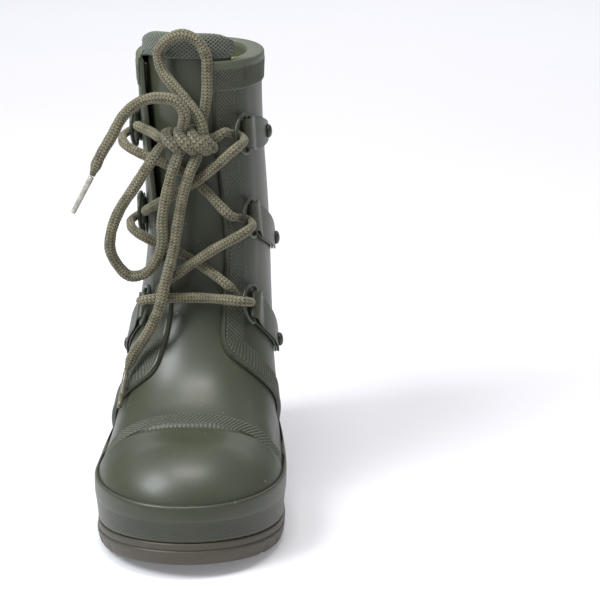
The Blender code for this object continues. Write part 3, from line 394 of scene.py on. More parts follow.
def strap_way(side, level):
    """Path of the strap over the quarter from the bar to beyond the rivet, with its lengths."""
    station, behind, run, swing = RINGS[level]
    share = np.linspace(0, 1.5, 90)
    stations = station + run * share
    start = edge_angle(station, side) + math.radians(behind)
    angles = side * (start + math.radians(swing) * share)
    points = last(stations, angles)
    lengths = travelled(points)
    rivet = float(np.interp(1.0, share, lengths))
    return stations, angles, lengths, rivet


def rivet_place(side, level):
    stations, angles, lengths, rivet = strap_way(side, level)
    place = float(np.interp(rivet, lengths, stations)), float(np.interp(rivet, lengths, angles))
    return place, normal(*place)


def cord_points(route, spacing):
    """Points at about even spacing along the smooth curve through the route's own points."""
    route = np.asarray(route, float)
    way = travelled(route)
    table = np.column_stack([way, route])
    fine = smooth(table, np.linspace(0, way[-1], 2000))
    length = travelled(fine)
    at = np.linspace(0, length[-1], int(round(length[-1] / spacing)) + 1)
    return np.column_stack([np.interp(at, length, fine[:, k]) for k in range(3)])


def ring_pass(side, level):
    """Lace over the ring's bow, down through the ring and out underneath."""
    centre, up, _, out = ring_frame(side, level)
    forward = ring_forward(side, level)
    plane = side * np.cross(up, forward)
    plane = plane if plane @ out > 0 else -plane
    bow = centre + forward * RING_DEPTH
    clear = RING_WIRE + TIGHT_LACE + 0.9
    under = clear - 0.15
    low, high = -up * 2.6, up * 2.6
    return [bow + forward * 6 + plane * (clear - 0.3) + low * 1.5, bow + plane * clear + low,
            bow - forward * (clear + 0.3), bow - plane * under + high,
            bow + forward * 5.5 - plane * (under - 0.3) + high * 1.5]


def on_skin(*places):
    return [skin(station, math.radians(angle), out) for station, angle, out in places]


def lacing_route():
    """The whole laced stretch, from the knot's lateral end down to the lowest rings and back up."""
    route = [(-19.2, 3.4, 216.6)] + on_skin((9.6, -38, 6.6))
    route += ring_pass(-1, 2)[::-1] + on_skin((8.75, -6, 3.5)) + ring_pass(1, 1)[::-1]
    route += on_skin((7.0, 3, 9.8)) + ring_pass(-1, 0)[::-1] + on_skin((5.6, 2, 5.5)) + ring_pass(1, 0)
    route += on_skin((6.65, -3, 3.5)) + ring_pass(-1, 1) + on_skin((8.8, 1, 9.8)) + ring_pass(1, 2)
    return route + [(10.6, -1.0, 217.8)]


# ============================ meshes ============================

def object_from(name, points, quads, look, uv=None, relief=None, sharp=50):
    """Mesh object from millimetre points and faces, with a UV map in millimetres and a relief value."""
    points = np.asarray(points, float).reshape(-1, 3)
    mesh = bpy.data.meshes.new(name)
    mesh.from_pydata((points * MM).tolist(), [], [list(map(int, q)) for q in quads])
    if uv is not None:
        layer = mesh.uv_layers.new(name="fine")
        corners = np.empty(len(mesh.loops), int)
        mesh.loops.foreach_get("vertex_index", corners)
        layer.data.foreach_set("uv", np.asarray(uv, float).reshape(-1, 2)[corners].ravel())
    height = mesh.attributes.new("relief", "FLOAT", "POINT")
    values = np.ones(len(points)) if relief is None else np.asarray(relief, float).ravel()
    height.data.foreach_set("value", values)
    build = bmesh.new()
    build.from_mesh(mesh)
    bmesh.ops.remove_doubles(build, verts=build.verts, dist=0.000004)
    bmesh.ops.dissolve_degenerate(build, edges=build.edges, dist=0.000001)
    bmesh.ops.recalc_face_normals(build, faces=build.faces)
    if build.calc_volume(signed=True) < 0:
        bmesh.ops.reverse_faces(build, faces=build.faces)
    build.to_mesh(mesh)
    build.free()
    mesh.shade_smooth()
    mesh.set_sharp_from_angle(angle=math.radians(sharp))
    mesh.materials.append(look)
    piece = bpy.data.objects.new(name, mesh)
    bpy.context.collection.objects.link(piece)
    return piece


def quads_of(rows, columns, wrap_rows=False, wrap_columns=False):
    r = np.arange(rows if wrap_rows else rows - 1)[:, None]
    c = np.arange(columns if wrap_columns else columns - 1)[None, :]
    r2, c2 = (r + 1) % rows, (c + 1) % columns
    corners = (r * columns + c, r * columns + c2, r2 * columns + c2, r2 * columns + c)
    return np.stack(np.broadcast_arrays(*corners), -1).reshape(-1, 4)


def evened(values, width):
    """Values along a path with its tight kinks smoothed away and its ends kept."""
    reach = 3 * width
    kernel = np.exp(-0.5 * (np.arange(-reach, reach + 1) / width) ** 2)
    before, after = 2 * values[0] - values[reach:0:-1], 2 * values[-1] - values[-2:-reach - 2:-1]
    padded = np.concatenate([before, values, after])
    return np.convolve(padded, kernel / kernel.sum(), "valid")


def capped(rows, around):
    """Quads of a tube of loops, with a cap on each end."""
    count = rows * around
    ends = [list(range(around))[::-1], list(range(count - around, count))]
    return quads_of(rows, around, wrap_columns=True).tolist() + ends


def sheet_quads(rows, columns):
    """Quads of a front grid, of the back grid that follows it, and of the rim between them."""
    count = rows * columns
    faces = quads_of(rows, columns)
    rim = np.concatenate([np.arange(columns), np.arange(1, rows) * columns + columns - 1,
                          (rows - 1) * columns + np.arange(columns - 2, -1, -1),
                          np.arange(rows - 2, 0, -1) * columns])
    turn = np.roll(rim, -1)
    sides = np.stack([rim, rim + count, turn + count, turn], 1)
    return np.concatenate([faces, faces[:, ::-1] + count, sides])


def ways(points):
    """Distances along the columns and along the rows of a grid of points."""
    across = np.linalg.norm(np.diff(points, axis=1), axis=2)
    down = np.linalg.norm(np.diff(points, axis=0), axis=2)
    across = np.concatenate([np.zeros((points.shape[0], 1)), np.cumsum(across, 1)], 1)
    down = np.concatenate([np.zeros((1, points.shape[1])), np.cumsum(down, 0)], 0)
    return across, down


def crowded(count, near=0.03, extra=5):
    """Shares from 0 to 1 that crowd together at both ends."""
    ends = near * np.linspace(0, 1, extra, endpoint=False) ** 1.6
    return np.concatenate([ends, np.linspace(near, 1 - near, count), 1 - ends[::-1]])


def paced(stations, angles, shares):
    """Points of a path at shares of its length."""
    points = last(stations, angles)
    way = travelled(points)
    return np.interp(shares * way[-1], way, stations), np.interp(shares * way[-1], way, angles)


KNURL_DEEP, KNURL_MIDDLE = 0.6, 0.4       # height of the moulded texture, share of it below the surface


def knurl(u, v, wide=2.4, high=2.1):
    """Staggered little domes, 0 in the grooves and 1 on their tips."""
    a, b = u / wide + v / high, u / wide - v / high
    return np.abs(np.sin(np.pi * a)) * np.abs(np.sin(np.pi * b))


def knurled(u, v, edge):
    """Height and relief of the moulded texture, which edge fades out from 1 to 0."""
    tips = knurl(u, v)
    return (tips - KNURL_MIDDLE) * KNURL_DEEP * edge, 1 - (1 - tips) * edge


def skinned(name, stations, angles, inner, outer, look, rounds=(0, 0, 0, 0), rise=None, texture=None):
    """Solid sheet on the last: rounds are the radii of its first row, last row, first column, last column.

    rise gets the distances from those four edges and gives how far the sheet stands off and how much
    thicker it is; texture(across, down, distances) gives the height and relief of its pattern.
    """
    base = last(stations, angles)
    across, down = ways(base)
    distances = (down, down[-1:] - down, across, across[:, -1:] - across)
    fall = np.ones(base.shape[:2])
    for distance, radius in zip(distances, rounds):
        if radius:
            t = np.clip(distance / radius, 0, 1)
            fall = np.minimum(fall, np.sqrt(1 - (1 - t) ** 2))
    low, high = np.broadcast_to(inner, fall.shape), np.broadcast_to(outer, fall.shape).astype(float)
    if rise is not None:
        lift, top = rise(distances)
        low, high = low + lift, high + lift + top
    relief = np.ones(fall.shape)
    if texture is not None:
        height, relief = texture(across, down, distances)
        high = high + height
    high = low + (high - low) * fall
    front, back = skin(stations, angles, high), skin(stations, angles, low)
    uv = np.stack([across, down], -1)
    return object_from(name, np.stack([front, back]), sheet_quads(*fall.shape), look, np.stack([uv, uv]),
                       np.stack([relief, np.full(fall.shape, 0.8)]))


def swept_round(name, profile_at, angles, look, texture=None, steps=60):
    """Closed section swept round the last; profile_at(angle) gives its (station, out) corners.

    texture(travel, along, total) gives height and relief at lengths round the last and round the section.
    """
    loops, uvs, reliefs = [], [], []
    travel = 0.0
    before = None
    for angle in angles:
        corners = np.asarray(profile_at(angle), float)
        closed = np.vstack([corners, corners[:1]])
        lengths = travelled(skin(closed[:, 0], np.full(len(closed), angle), closed[:, 1]))
        at = np.linspace(0, lengths[-1], steps, endpoint=False)
        place = np.column_stack([np.interp(at, lengths, closed[:, 0]), np.interp(at, lengths, closed[:, 1])])
        points = skin(place[:, 0], np.full(steps, angle), place[:, 1])
        for _ in range(2):
            points = (points * 2 + np.roll(points, 1, 0) + np.roll(points, -1, 0)) / 4
        if before is not None:
            travel += np.linalg.norm(points[0] - before)
        before = points[0]
        relief = np.ones(steps)
        if texture is not None:
            height, relief = texture(np.full(steps, travel), at, lengths[-1])
            way = unit(np.roll(points, -1, 0) - np.roll(points, 1, 0))
            round_it = tangents(place[:, 0], np.full(steps, angle))[1]
            points = points + unit(np.cross(round_it, way)) * height[:, None]
        loops.append(points)
        uvs.append(np.column_stack([np.full(steps, travel), at]))
        reliefs.append(relief)
    return object_from(name, loops, capped(len(loops), steps), look, np.asarray(uvs), np.asarray(reliefs))


def turned(name, centre, axis, profile, look, around=32):
    """Body of revolution from (radius, height) corners."""
    axis = unit(np.asarray(axis, float))
    first = unit(np.cross(axis, (0.13, 0.2, 1.0)))
    second = np.cross(axis, first)
    spokes = np.linspace(0, 2 * math.pi, around, endpoint=False)
    ring = np.outer(np.cos(spokes), first) + np.outer(np.sin(spokes), second)
    loops = np.array([np.asarray(centre) + axis * h + max(r, 0.002) * ring for r, h in profile])
    return object_from(name, loops, capped(len(loops), around), look)


def frames_along(points):
    """Unit tangent and two normals at each point, carried along without twist."""
    way = unit(np.gradient(points, axis=0))
    side = unit(np.cross(way[0], (0.3, 0.2, 1.0)))
    firsts = []
    for tangent in way:
        side = unit(side - tangent * (side @ tangent))
        firsts.append(side)
    firsts = np.array(firsts)
    return way, firsts, np.cross(way, firsts)


def tube_mesh(points, radii, around):
    """Loops of a tube along points; radii is one row per point and one column per spoke."""
    _, first, second = frames_along(points)
    spokes = np.linspace(0, 2 * math.pi, around, endpoint=False)
    ring = np.cos(spokes)[None, :, None] * first[:, None] + np.sin(spokes)[None, :, None] * second[:, None]
    return points[:, None] + ring * radii[..., None]


CORD_STEP = 0.33          # spacing of a cord's loops
AGLET_SHARE = 0.52        # of the lace's radius, inside its aglet
RING_SQUEEZE, SQUEEZE_REACH = 0.18, 9     # how much thinner the lace is at a ring, and how far from it
CORD_AROUND = 54          # points round a cord
WALES, STITCH = 8, 1.9    # knitted cord: columns of stitches round it, length of one stitch


def rope(name, points, radius, look, ends=(1.0, 1.0), seed=0, squeeze=None):
    """Knitted round cord; ends are shares of its radius at both ends, squeeze a share at every point."""
    around, count = CORD_AROUND, len(points)
    way = travelled(points)
    share = np.linspace(0, 1, around, endpoint=False)
    column = (WALES * share + way[:, None] * 0.012) % 1
    stripe = np.abs(np.sin(np.pi * (way[:, None] / STITCH + 1.3 * np.abs(column - 0.5) + seed * 0.37)))
    cells = stripe ** 0.7 * np.sin(np.pi * column) ** 0.25
    size = np.full(count, radius)
    size *= 1 - (1 - ends[0]) * (1 - ease(0, 7, way)) - (1 - ends[1]) * (1 - ease(0, 7, way[-1] - way))
    size += 0.08 * np.sin(way * 0.31 + seed) + 0.05 * np.sin(way * 0.83 + 2 * seed)
    radii = size[:, None] - 0.42 + 0.5 * cells
    if squeeze is not None:
        radii = radii * squeeze[:, None]
    loops = tube_mesh(points, radii, around)
    uv = np.stack(np.broadcast_arrays(way[:, None], share[None, :]), -1)
    return object_from(name, loops, capped(count, around), look, uv, cells, sharp=80)


# ============================ materials ============================

def new_look(name):
    look = bpy.data.materials.new(name)
    look.use_nodes = True
    tree = look.node_tree
    return look, tree, tree.nodes["Principled BSDF"]


def node(tree, kind, **settings):
    made = tree.nodes.new("ShaderNode" + kind)
    for key, value in settings.items():
        if key in made.inputs.keys():
            made.inputs[key].default_value = value
        else:
            setattr(made, key, value)
    return made


def settle(shader, values):
    """Sets the shader's inputs by name."""
    for name, value in values.items():
        shader.inputs[name].default_value = value


def noise(tree, scale, detail=4.0, rough=0.55, source=None):
    made = node(tree, "TexNoise", Scale=scale, Detail=detail, Roughness=rough)
    if source is None:
        source = node(tree, "TexCoord").outputs["Object"]
    tree.links.new(source, made.inputs["Vector"])
    return made.outputs["Fac"]


def span(tree, value, low, high, to_low, to_high):
    made = node(tree, "MapRange")
    for key, number in zip(("From Min", "From Max", "To Min", "To Max"), (low, high, to_low, to_high)):
        made.inputs[key].default_value = number
    tree.links.new(value, made.inputs["Value"])
    return made.outputs["Result"]


def mixed(tree, share, first, second, blend="MIX"):
    made = node(tree, "Mix", data_type="RGBA", blend_type=blend)
    for socket, value in ((made.inputs[0], share), (made.inputs[6], first), (made.inputs[7], second)):
        if isinstance(value, (tuple, float, int)):
            socket.default_value = (*value, 1) if isinstance(value, tuple) else value
        else:
            tree.links.new(value, socket)
    return made.outputs[2]


def tinted(tree, value, low, high, share, colour, other):
    """The colour under a growing share of the other one, as value goes from low to high."""
    return mixed(tree, span(tree, value, low, high, 0.0, share), colour, other)


def maths(tree, operation, *values):
    """Math node whose inputs are numbers or other nodes' outputs."""
    made = node(tree, "Math", operation=operation)
    for socket, value in zip(made.inputs, values):
        if isinstance(value, (int, float)):
            socket.default_value = value
        else:
            tree.links.new(value, socket)
    return made.outputs[0]


def attribute(tree, name):
    return node(tree, "Attribute", attribute_name=name).outputs["Fac"]


def bump(tree, shader, height, strength, distance):
    made = node(tree, "Bump", Strength=strength, Distance=distance)
    tree.links.new(height, made.inputs["Height"])
    tree.links.new(made.outputs["Normal"], shader.inputs["Normal"])
    return made


def fine_uv(tree):
    """Both parts of the UV map in millimetres."""
    split = node(tree, "SeparateXYZ")
    tree.links.new(node(tree, "UVMap", uv_map="fine").outputs["UV"], split.inputs[0])
    return split.outputs[0], split.outputs[1]


def dimples(tree, wide, high):
    """Staggered fine dimples over the UV map in millimetres, 0 to 1."""
    u, v = fine_uv(tree)
    waves = []
    for sign in (1, -1):
        across = maths(tree, "MULTIPLY", u, sign * math.pi / wide)
        total = maths(tree, "MULTIPLY_ADD", v, math.pi / high, across)
        waves.append(maths(tree, "ABSOLUTE", maths(tree, "SINE", total)))
    return maths(tree, "MULTIPLY", *waves)


def rubber_look(name, colour, dusty, rough=(0.38, 0.52), coat=0.18, speck=0.5, hatch=False):
    """Moulded rubber: cloudy bloom, pale dust specks, scuffs, a fine skin grain, and painted shade in the
    hollows of its texture.
    """
    look, tree, shader = new_look(name)
    cloud = noise(tree, 14.0, 5.0, 0.6)
    colour_now = tinted(tree, cloud, 0.35, 0.68, 0.55, colour, dusty)
    streak = noise(tree, 70.0, 3.0, 0.7)
    colour_now = tinted(tree, streak, 0.58, 0.75, 0.22, colour_now, dusty)
    specks = noise(tree, 380.0, 1.0, 0.4)
    colour_now = tinted(tree, specks, 0.775, 0.80, speck, colour_now, (0.30, 0.30, 0.25))
    relief = attribute(tree, "relief")
    grain = noise(tree, 1500.0, 2.0, 0.5)
    if hatch:
        dips = span(tree, dimples(tree, 1.5, 1.3), 0.15, 0.6, 1.0, 0.0)
        # painted shade: the dimples of the fine hatch darken where the band is textured; hollow also drives the
        # bump
        hollow = maths(tree, "MULTIPLY", span(tree, relief, 0.0, 1.0, 1.0, 0.0), dips)
        colour_now = tinted(tree, hollow, 0.0, 1.0, 0.55, colour_now, (0.012, 0.013, 0.008))
        grain = span(tree, hollow, 0.0, 1.0, 1.0, 0.0)
    else:
        # painted shade: the grooves of the moulded texture, where relief is low, darken towards near black
        colour_now = mixed(tree, span(tree, relief, 0.05, 0.7, 0.8, 0.0), colour_now, (0.010, 0.011, 0.007))
    tree.links.new(colour_now, shader.inputs["Base Color"])
    tree.links.new(span(tree, cloud, 0.3, 0.7, *rough), shader.inputs["Roughness"])
    settle(shader, {"Coat Weight": coat, "Coat Roughness": 0.26, "Specular IOR Level": 0.5})
    bump(tree, shader, grain, 0.6 if hatch else 0.25, 0.00025 if hatch else 0.00012)
    return look


def lace_look():
    """Knitted cord: painted shade in the grooves between stitches, and dark flecks among khaki ones."""
    look, tree, shader = new_look("lace_yarn")
    joined = node(tree, "CombineXYZ")
    for part, factor, socket in zip(fine_uv(tree), (0.5 / STITCH, WALES), joined.inputs):
        tree.links.new(maths(tree, "FLOOR", maths(tree, "MULTIPLY", part, factor)), socket)
    stitch = node(tree, "TexWhiteNoise", noise_dimensions="2D")
    tree.links.new(joined.outputs[0], stitch.inputs["Vector"])
    chance = stitch.outputs["Value"]
    colour = mixed(tree, chance, (0.185, 0.168, 0.104), (0.275, 0.250, 0.162))
    colour = tinted(tree, chance, 0.86, 0.87, 0.6, colour, (0.060, 0.055, 0.038))
    fuzz = noise(tree, 2600.0, 3.0, 0.7)
    colour = tinted(tree, fuzz, 0.4, 0.7, 0.35, colour, (0.34, 0.315, 0.225))
    dirt = noise(tree, 38.0, 3.0, 0.6)
    colour = tinted(tree, dirt, 0.45, 0.7, 0.4, colour, (0.140, 0.128, 0.080))
    # painted shade: the grooves between stitches, where relief is low, darken
    groove = span(tree, attribute(tree, "relief"), 0.25, 0.85, 0.92, 0.0)
    colour = mixed(tree, groove, colour, (0.030, 0.027, 0.017))
    tree.links.new(colour, shader.inputs["Base Color"])
    settle(shader, {"Roughness": 0.92, "Sheen Weight": 0.25, "Sheen Roughness": 0.5,
                    "Specular IOR Level": 0.2})
    bump(tree, shader, fuzz, 0.6, 0.00025)
    return look


def cloth_look(name, colour, deep, light, rough=0.9, scale=2200.0, sheen=0.3):
    look, tree, shader = new_look(name)
    fuzz = noise(tree, scale, 3.0, 0.65)
    cloud = noise(tree, 22.0, 4.0, 0.6)
    now = tinted(tree, cloud, 0.35, 0.7, 0.6, colour, light)
    now = tinted(tree, fuzz, 0.35, 0.65, 0.3, now, deep)
    # painted shade: the holes of the knit, where relief is low, take the deep colour
    now = mixed(tree, span(tree, attribute(tree, "relief"), 0.1, 0.75, 0.95, 0.0), now, deep)
    tree.links.new(now, shader.inputs["Base Color"])
    settle(shader, {"Roughness": rough, "Sheen Weight": sheen})
    bump(tree, shader, fuzz, 0.5, 0.0002)
    return look


def metal_look():
    """Olive paint over metal, a little rubbed."""
    look, tree, shader = new_look("painted_metal")
    cloud = noise(tree, 60.0, 4.0, 0.6)
    now = tinted(tree, cloud, 0.4, 0.7, 0.5, (0.040, 0.045, 0.030), (0.070, 0.075, 0.055))
    rubbed = noise(tree, 700.0, 3.0, 0.7)
    now = tinted(tree, rubbed, 0.66, 0.74, 0.5, now, (0.20, 0.20, 0.17))
    tree.links.new(now, shader.inputs["Base Color"])
    tree.links.new(span(tree, cloud, 0.3, 0.7, 0.28, 0.42), shader.inputs["Roughness"])
    settle(shader, {"Metallic": 0.25})
    bump(tree, shader, rubbed, 0.2, 0.0001)
    return look


def film_look(name, dull, clear):
    """Clear hard film of the aglets over the squeezed lace end."""
    look, tree, shader = new_look(name)
    cloud = noise(tree, 300.0, 3.0, 0.6)
    now = tinted(tree, cloud, 0.4, 0.65, 1.0, dull, clear)
    tree.links.new(now, shader.inputs["Base Color"])
    tree.links.new(span(tree, cloud, 0.3, 0.7, 0.10, 0.3), shader.inputs["Roughness"])
    settle(shader, {"Coat Weight": 0.8, "Coat Roughness": 0.08})
    bump(tree, shader, cloud, 0.25, 0.0003)
    return look


RUBBER = rubber_look("olive_rubber", (0.040, 0.046, 0.025), (0.066, 0.072, 0.045))
SOLE = rubber_look("outsole_rubber", (0.058, 0.051, 0.033), (0.094, 0.082, 0.058), (0.45, 0.62), 0.08, 0.6)
BAND = rubber_look("foxing_rubber", (0.042, 0.047, 0.026), (0.068, 0.072, 0.046), (0.34, 0.5), 0.15, 0.6, True)
KNURLED = rubber_look("textured_rubber", (0.078, 0.087, 0.054), (0.118, 0.127, 0.088), (0.42, 0.56), 0.08, 0.5)
KNIT = cloth_look("olive_knit", (0.135, 0.155, 0.118), (0.006, 0.007, 0.004), (0.190, 0.210, 0.165))
LIME = cloth_look("lime_lining", (0.50, 0.60, 0.13), (0.30, 0.38, 0.07), (0.62, 0.70, 0.22), sheen=0.5)
METAL = metal_look()
YARN = lace_look()
FILM = film_look("aglet_plastic", (0.30, 0.28, 0.23), (0.52, 0.50, 0.44))
# a darker copy of the aglet film, for the front aglet
DARKER_FILM = film_look("darker_aglet_plastic", (0.10, 0.092, 0.06), (0.19, 0.175, 0.12))
FOAM = cloth_look("foam", (0.22, 0.22, 0.19), (0.12, 0.12, 0.10), (0.30, 0.30, 0.27), scale=1200.0, sheen=0.0)
BOARD = cloth_look("board", (0.42, 0.33, 0.22), (0.26, 0.20, 0.13), (0.52, 0.43, 0.31), scale=900.0, sheen=0.0)


def steel_look():
    look, tree, shader = new_look("steel")
    cloud = noise(tree, 240.0, 3.0, 0.6)
    tree.links.new(mixed(tree, cloud, (0.42, 0.42, 0.43), (0.62, 0.62, 0.63)), shader.inputs["Base Color"])
    tree.links.new(span(tree, cloud, 0.3, 0.7, 0.25, 0.42), shader.inputs["Roughness"])
    settle(shader, {"Metallic": 1.0})
    return look


STEEL = steel_look()


def place(piece, body, *nodes):
    """The piece rides on a body and stands for CAD nodes, which it hides."""
    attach(piece, body)
    if nodes:
        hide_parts(*nodes)
    return piece


# ============================ camera, floor and light ============================

def make_stage():
    camera_data = bpy.data.cameras.new("camera")
    camera_data.lens = 108.6
    camera_data.sensor_width = 36.0
    camera_data.clip_end = 60.0
    camera = bpy.data.objects.new("camera", camera_data)
    camera.location = (0.060, -1.024, 0.424)
    camera.rotation_euler = (math.radians(73.5), 0, 0)
    bpy.context.collection.objects.link(camera)
    bpy.context.scene.camera = camera

    look, tree, shader = new_look("floor")
    cloud = noise(tree, 1.2, 2.0, 0.5)
    tree.links.new(mixed(tree, cloud, (0.72, 0.72, 0.77), (0.78, 0.765, 0.775)), shader.inputs["Base Color"])
    settle(shader, {"Roughness": 0.85, "Specular IOR Level": 0.1, "Emission Color": (0.95, 0.95, 1.0, 1),
                    "Emission Strength": 0.17})
    mesh = bpy.data.meshes.new("floor")
    mesh.from_pydata([(-14, -9, 0), (14, -9, 0), (14, 16, 0), (-14, 16, 0)], [], [(0, 1, 2, 3)])
    mesh.materials.append(look)
    floor = bpy.data.objects.new("floor", mesh)
    floor.location.z = -0.0002
    bpy.context.collection.objects.link(floor)

    world = bpy.data.worlds.new("world")
    world.use_nodes = True
    settle(world.node_tree.nodes["Background"], {"Color": (0.95, 0.96, 1.0, 1), "Strength": 0.33})
    bpy.context.scene.world = world
    for name, spot, aim, size, power, colour in (
            ("window_left", (-0.85, -0.5, 1.25), (0, -0.03, 0.1), (0.6, 0.8), 21.0, (0.92, 0.96, 1.0)),
            ("window_top", (0.0, -0.2, 1.9), (0, 0, 0.1), (0.8, 0.5), 16.0, (1.0, 0.99, 0.97)),
            ("fill_right", (1.1, -0.5, 0.9), (0, 0, 0.1), (0.5, 0.7), 0.9, (1.0, 0.96, 0.9)),
            ("far_floor", (0.2, 2.3, 1.7), (0.2, 2.5, 0), (3.5, 2.2), 34.0, (0.97, 0.98, 1.0))):
        lamp_data = bpy.data.lights.new(name, "AREA")
        lamp_data.shape = "RECTANGLE"
        lamp_data.size, lamp_data.size_y = size
        lamp_data.energy = power
        lamp_data.color = colour
        lamp = bpy.data.objects.new(name, lamp_data)
        lamp.location = spot
        lamp.rotation_euler = (Vector(aim) - Vector(spot)).to_track_quat("-Z", "Y").to_euler()
        bpy.context.collection.objects.link(lamp)
    bpy.context.scene.view_settings.view_transform = "Standard"


# ============================ lace ============================

def aglet(name, ends, look, body_node):
    """Film sleeve with two crimped rings and a rounded tip."""
    start, end = (np.asarray(p, float) for p in ends)
    length = float(np.linalg.norm(end - start))
    profile = [(0, 0.2), (1.35, 0.0), (1.62, 0.3), (1.66, 1.4), (1.5, 1.9), (1.66, 2.4), (1.6, 5.0)]
    profile += [(1.55, length * 0.5), (1.5, length - 4.2), (1.36, length - 3.6), (1.48, length - 3.0),
                (1.45, length - 0.8), (1.2, length - 0.15), (0.8, length), (0, length)]
    return place(turned(name, start, end - start, profile, look), "boot", body_node)


def make_lace():
    tight = cord_points([(-12, 1, 216.8), *lacing_route(), (4, -1.5, 217)], CORD_STEP)
    squeeze = np.ones(len(tight))
    for side in SIDES.values():
        for level in range(len(RINGS)):
            bow = ring_frame(side, level)[0] + ring_forward(side, level) * RING_DEPTH
            squeeze -= RING_SQUEEZE * np.exp(-(np.linalg.norm(tight - bow, axis=1) / SQUEEZE_REACH) ** 4)
    crossing = rope("lacing", tight, TIGHT_LACE, YARN, seed=1, squeeze=squeeze)
    place(crossing, "boot", "lace_crossing")
    aglets = {"lace_end_side": aglet("side_aglet", END_SIDE_AGLET, FILM, "aglet_side"),
              "lace_end_front": aglet("front_aglet", END_FRONT_AGLET, DARKER_FILM, "aglet_front")}
    # each route with the points that carry its ends on into the knot
    routes = (("lace_loop_up", [(4.5, -5.4, 218.5), *LOOP_UP, (4.5, -1, 219.5)]),
              ("lace_loop_side", [(-12.5, -4, 216.5), *LOOP_SIDE, (-7.5, -5.8, 215.5)]),
              ("lace_end_side", [(-7.5, -5.2, 218.5), *END_SIDE]),
              ("lace_end_front", [(2, -5.2, 215), *END_FRONT]))
    for seed, (node_name, route) in enumerate(routes):
        loop = node_name not in aglets
        points = cord_points(route, CORD_STEP)
        ends = (1.0, 1.0 if loop else AGLET_SHARE)
        piece = rope(node_name.replace("lace_", "bow_"), points, LACE, YARN, ends, seed + 2)
        place(piece, "boot", node_name)
    make_knot()


KNOT_RADIUS = 3.35
KNOT_STRANDS = (
    ((-17, 3, 223), (-19.5, -3, 221.8), (-17.5, -8.5, 219), (-13.5, -10.2, 215), (-10, -8, 211),
     (-9, -2, 209.5), (-10, 2, 210)),
    ((-9, 2, 225), (-10.5, -4, 224), (-9, -9.5, 221.5), (-5, -11.8, 216.5), (-1.5, -9.5, 211.8),
     (-0.5, -3, 209.5), (-2, 2, 210)),
    ((-1, 2, 225.5), (-2, -4, 224.5), (0, -9.3, 221.3), (4, -11, 216), (7.5, -8.5, 211.3), (9, -2.5, 209),
     (8, 2, 209.5)),
    ((6, 2, 223), (6, -3, 222), (8, -7.2, 218.6), (11.2, -7.4, 214.2), (13.2, -4, 211), (12.6, 1, 210)),
    ((-16, 1, 215.5), (-9, -3.5, 216.5), (-1, -4.5, 217), (6, -3, 216.5), (11, 1, 215.5)),
)


def make_knot():
    centre, scale = np.array((-4.5, 0, 217)), np.array((0.82, 1, 0.7))
    for i, route in enumerate(KNOT_STRANDS):
        points = cord_points((np.array(route) - centre) * scale + centre, CORD_STEP)
        strand = rope(f"knot_strand_{i}", points, KNOT_RADIUS, YARN, (0.8, 0.8), 7 + i)
        place(strand, "boot", *(() if i else ("lace_knot",)))


# ============================ sole ============================

SIDE_POINTS = 330         # points along each side of the sole


def lean_of(outward):
    """How far the wall leans out over its height: outwards at the toe, inwards at the sides."""
    return 1.5 * np.clip(-outward[:, 1], 0, 1) - 3.0 * np.abs(outward[:, 0]) ** 1.5


def tread_lift(y):
    """Depth of the gaps across the tread at y."""
    phase = (np.asarray(y, float) - CLEAT_FIRST) % CLEAT_PITCH
    lift = ease(0, CLEAT_SLOPE + 0.5, phase) * (1 - ease(CLEAT_GAP - CLEAT_SLOPE - 0.5, CLEAT_GAP, phase))
    inside = (np.asarray(y) > CLEAT_FIRST - 1) & (np.asarray(y) < 118)
    return CLEAT_DEEP * lift * inside


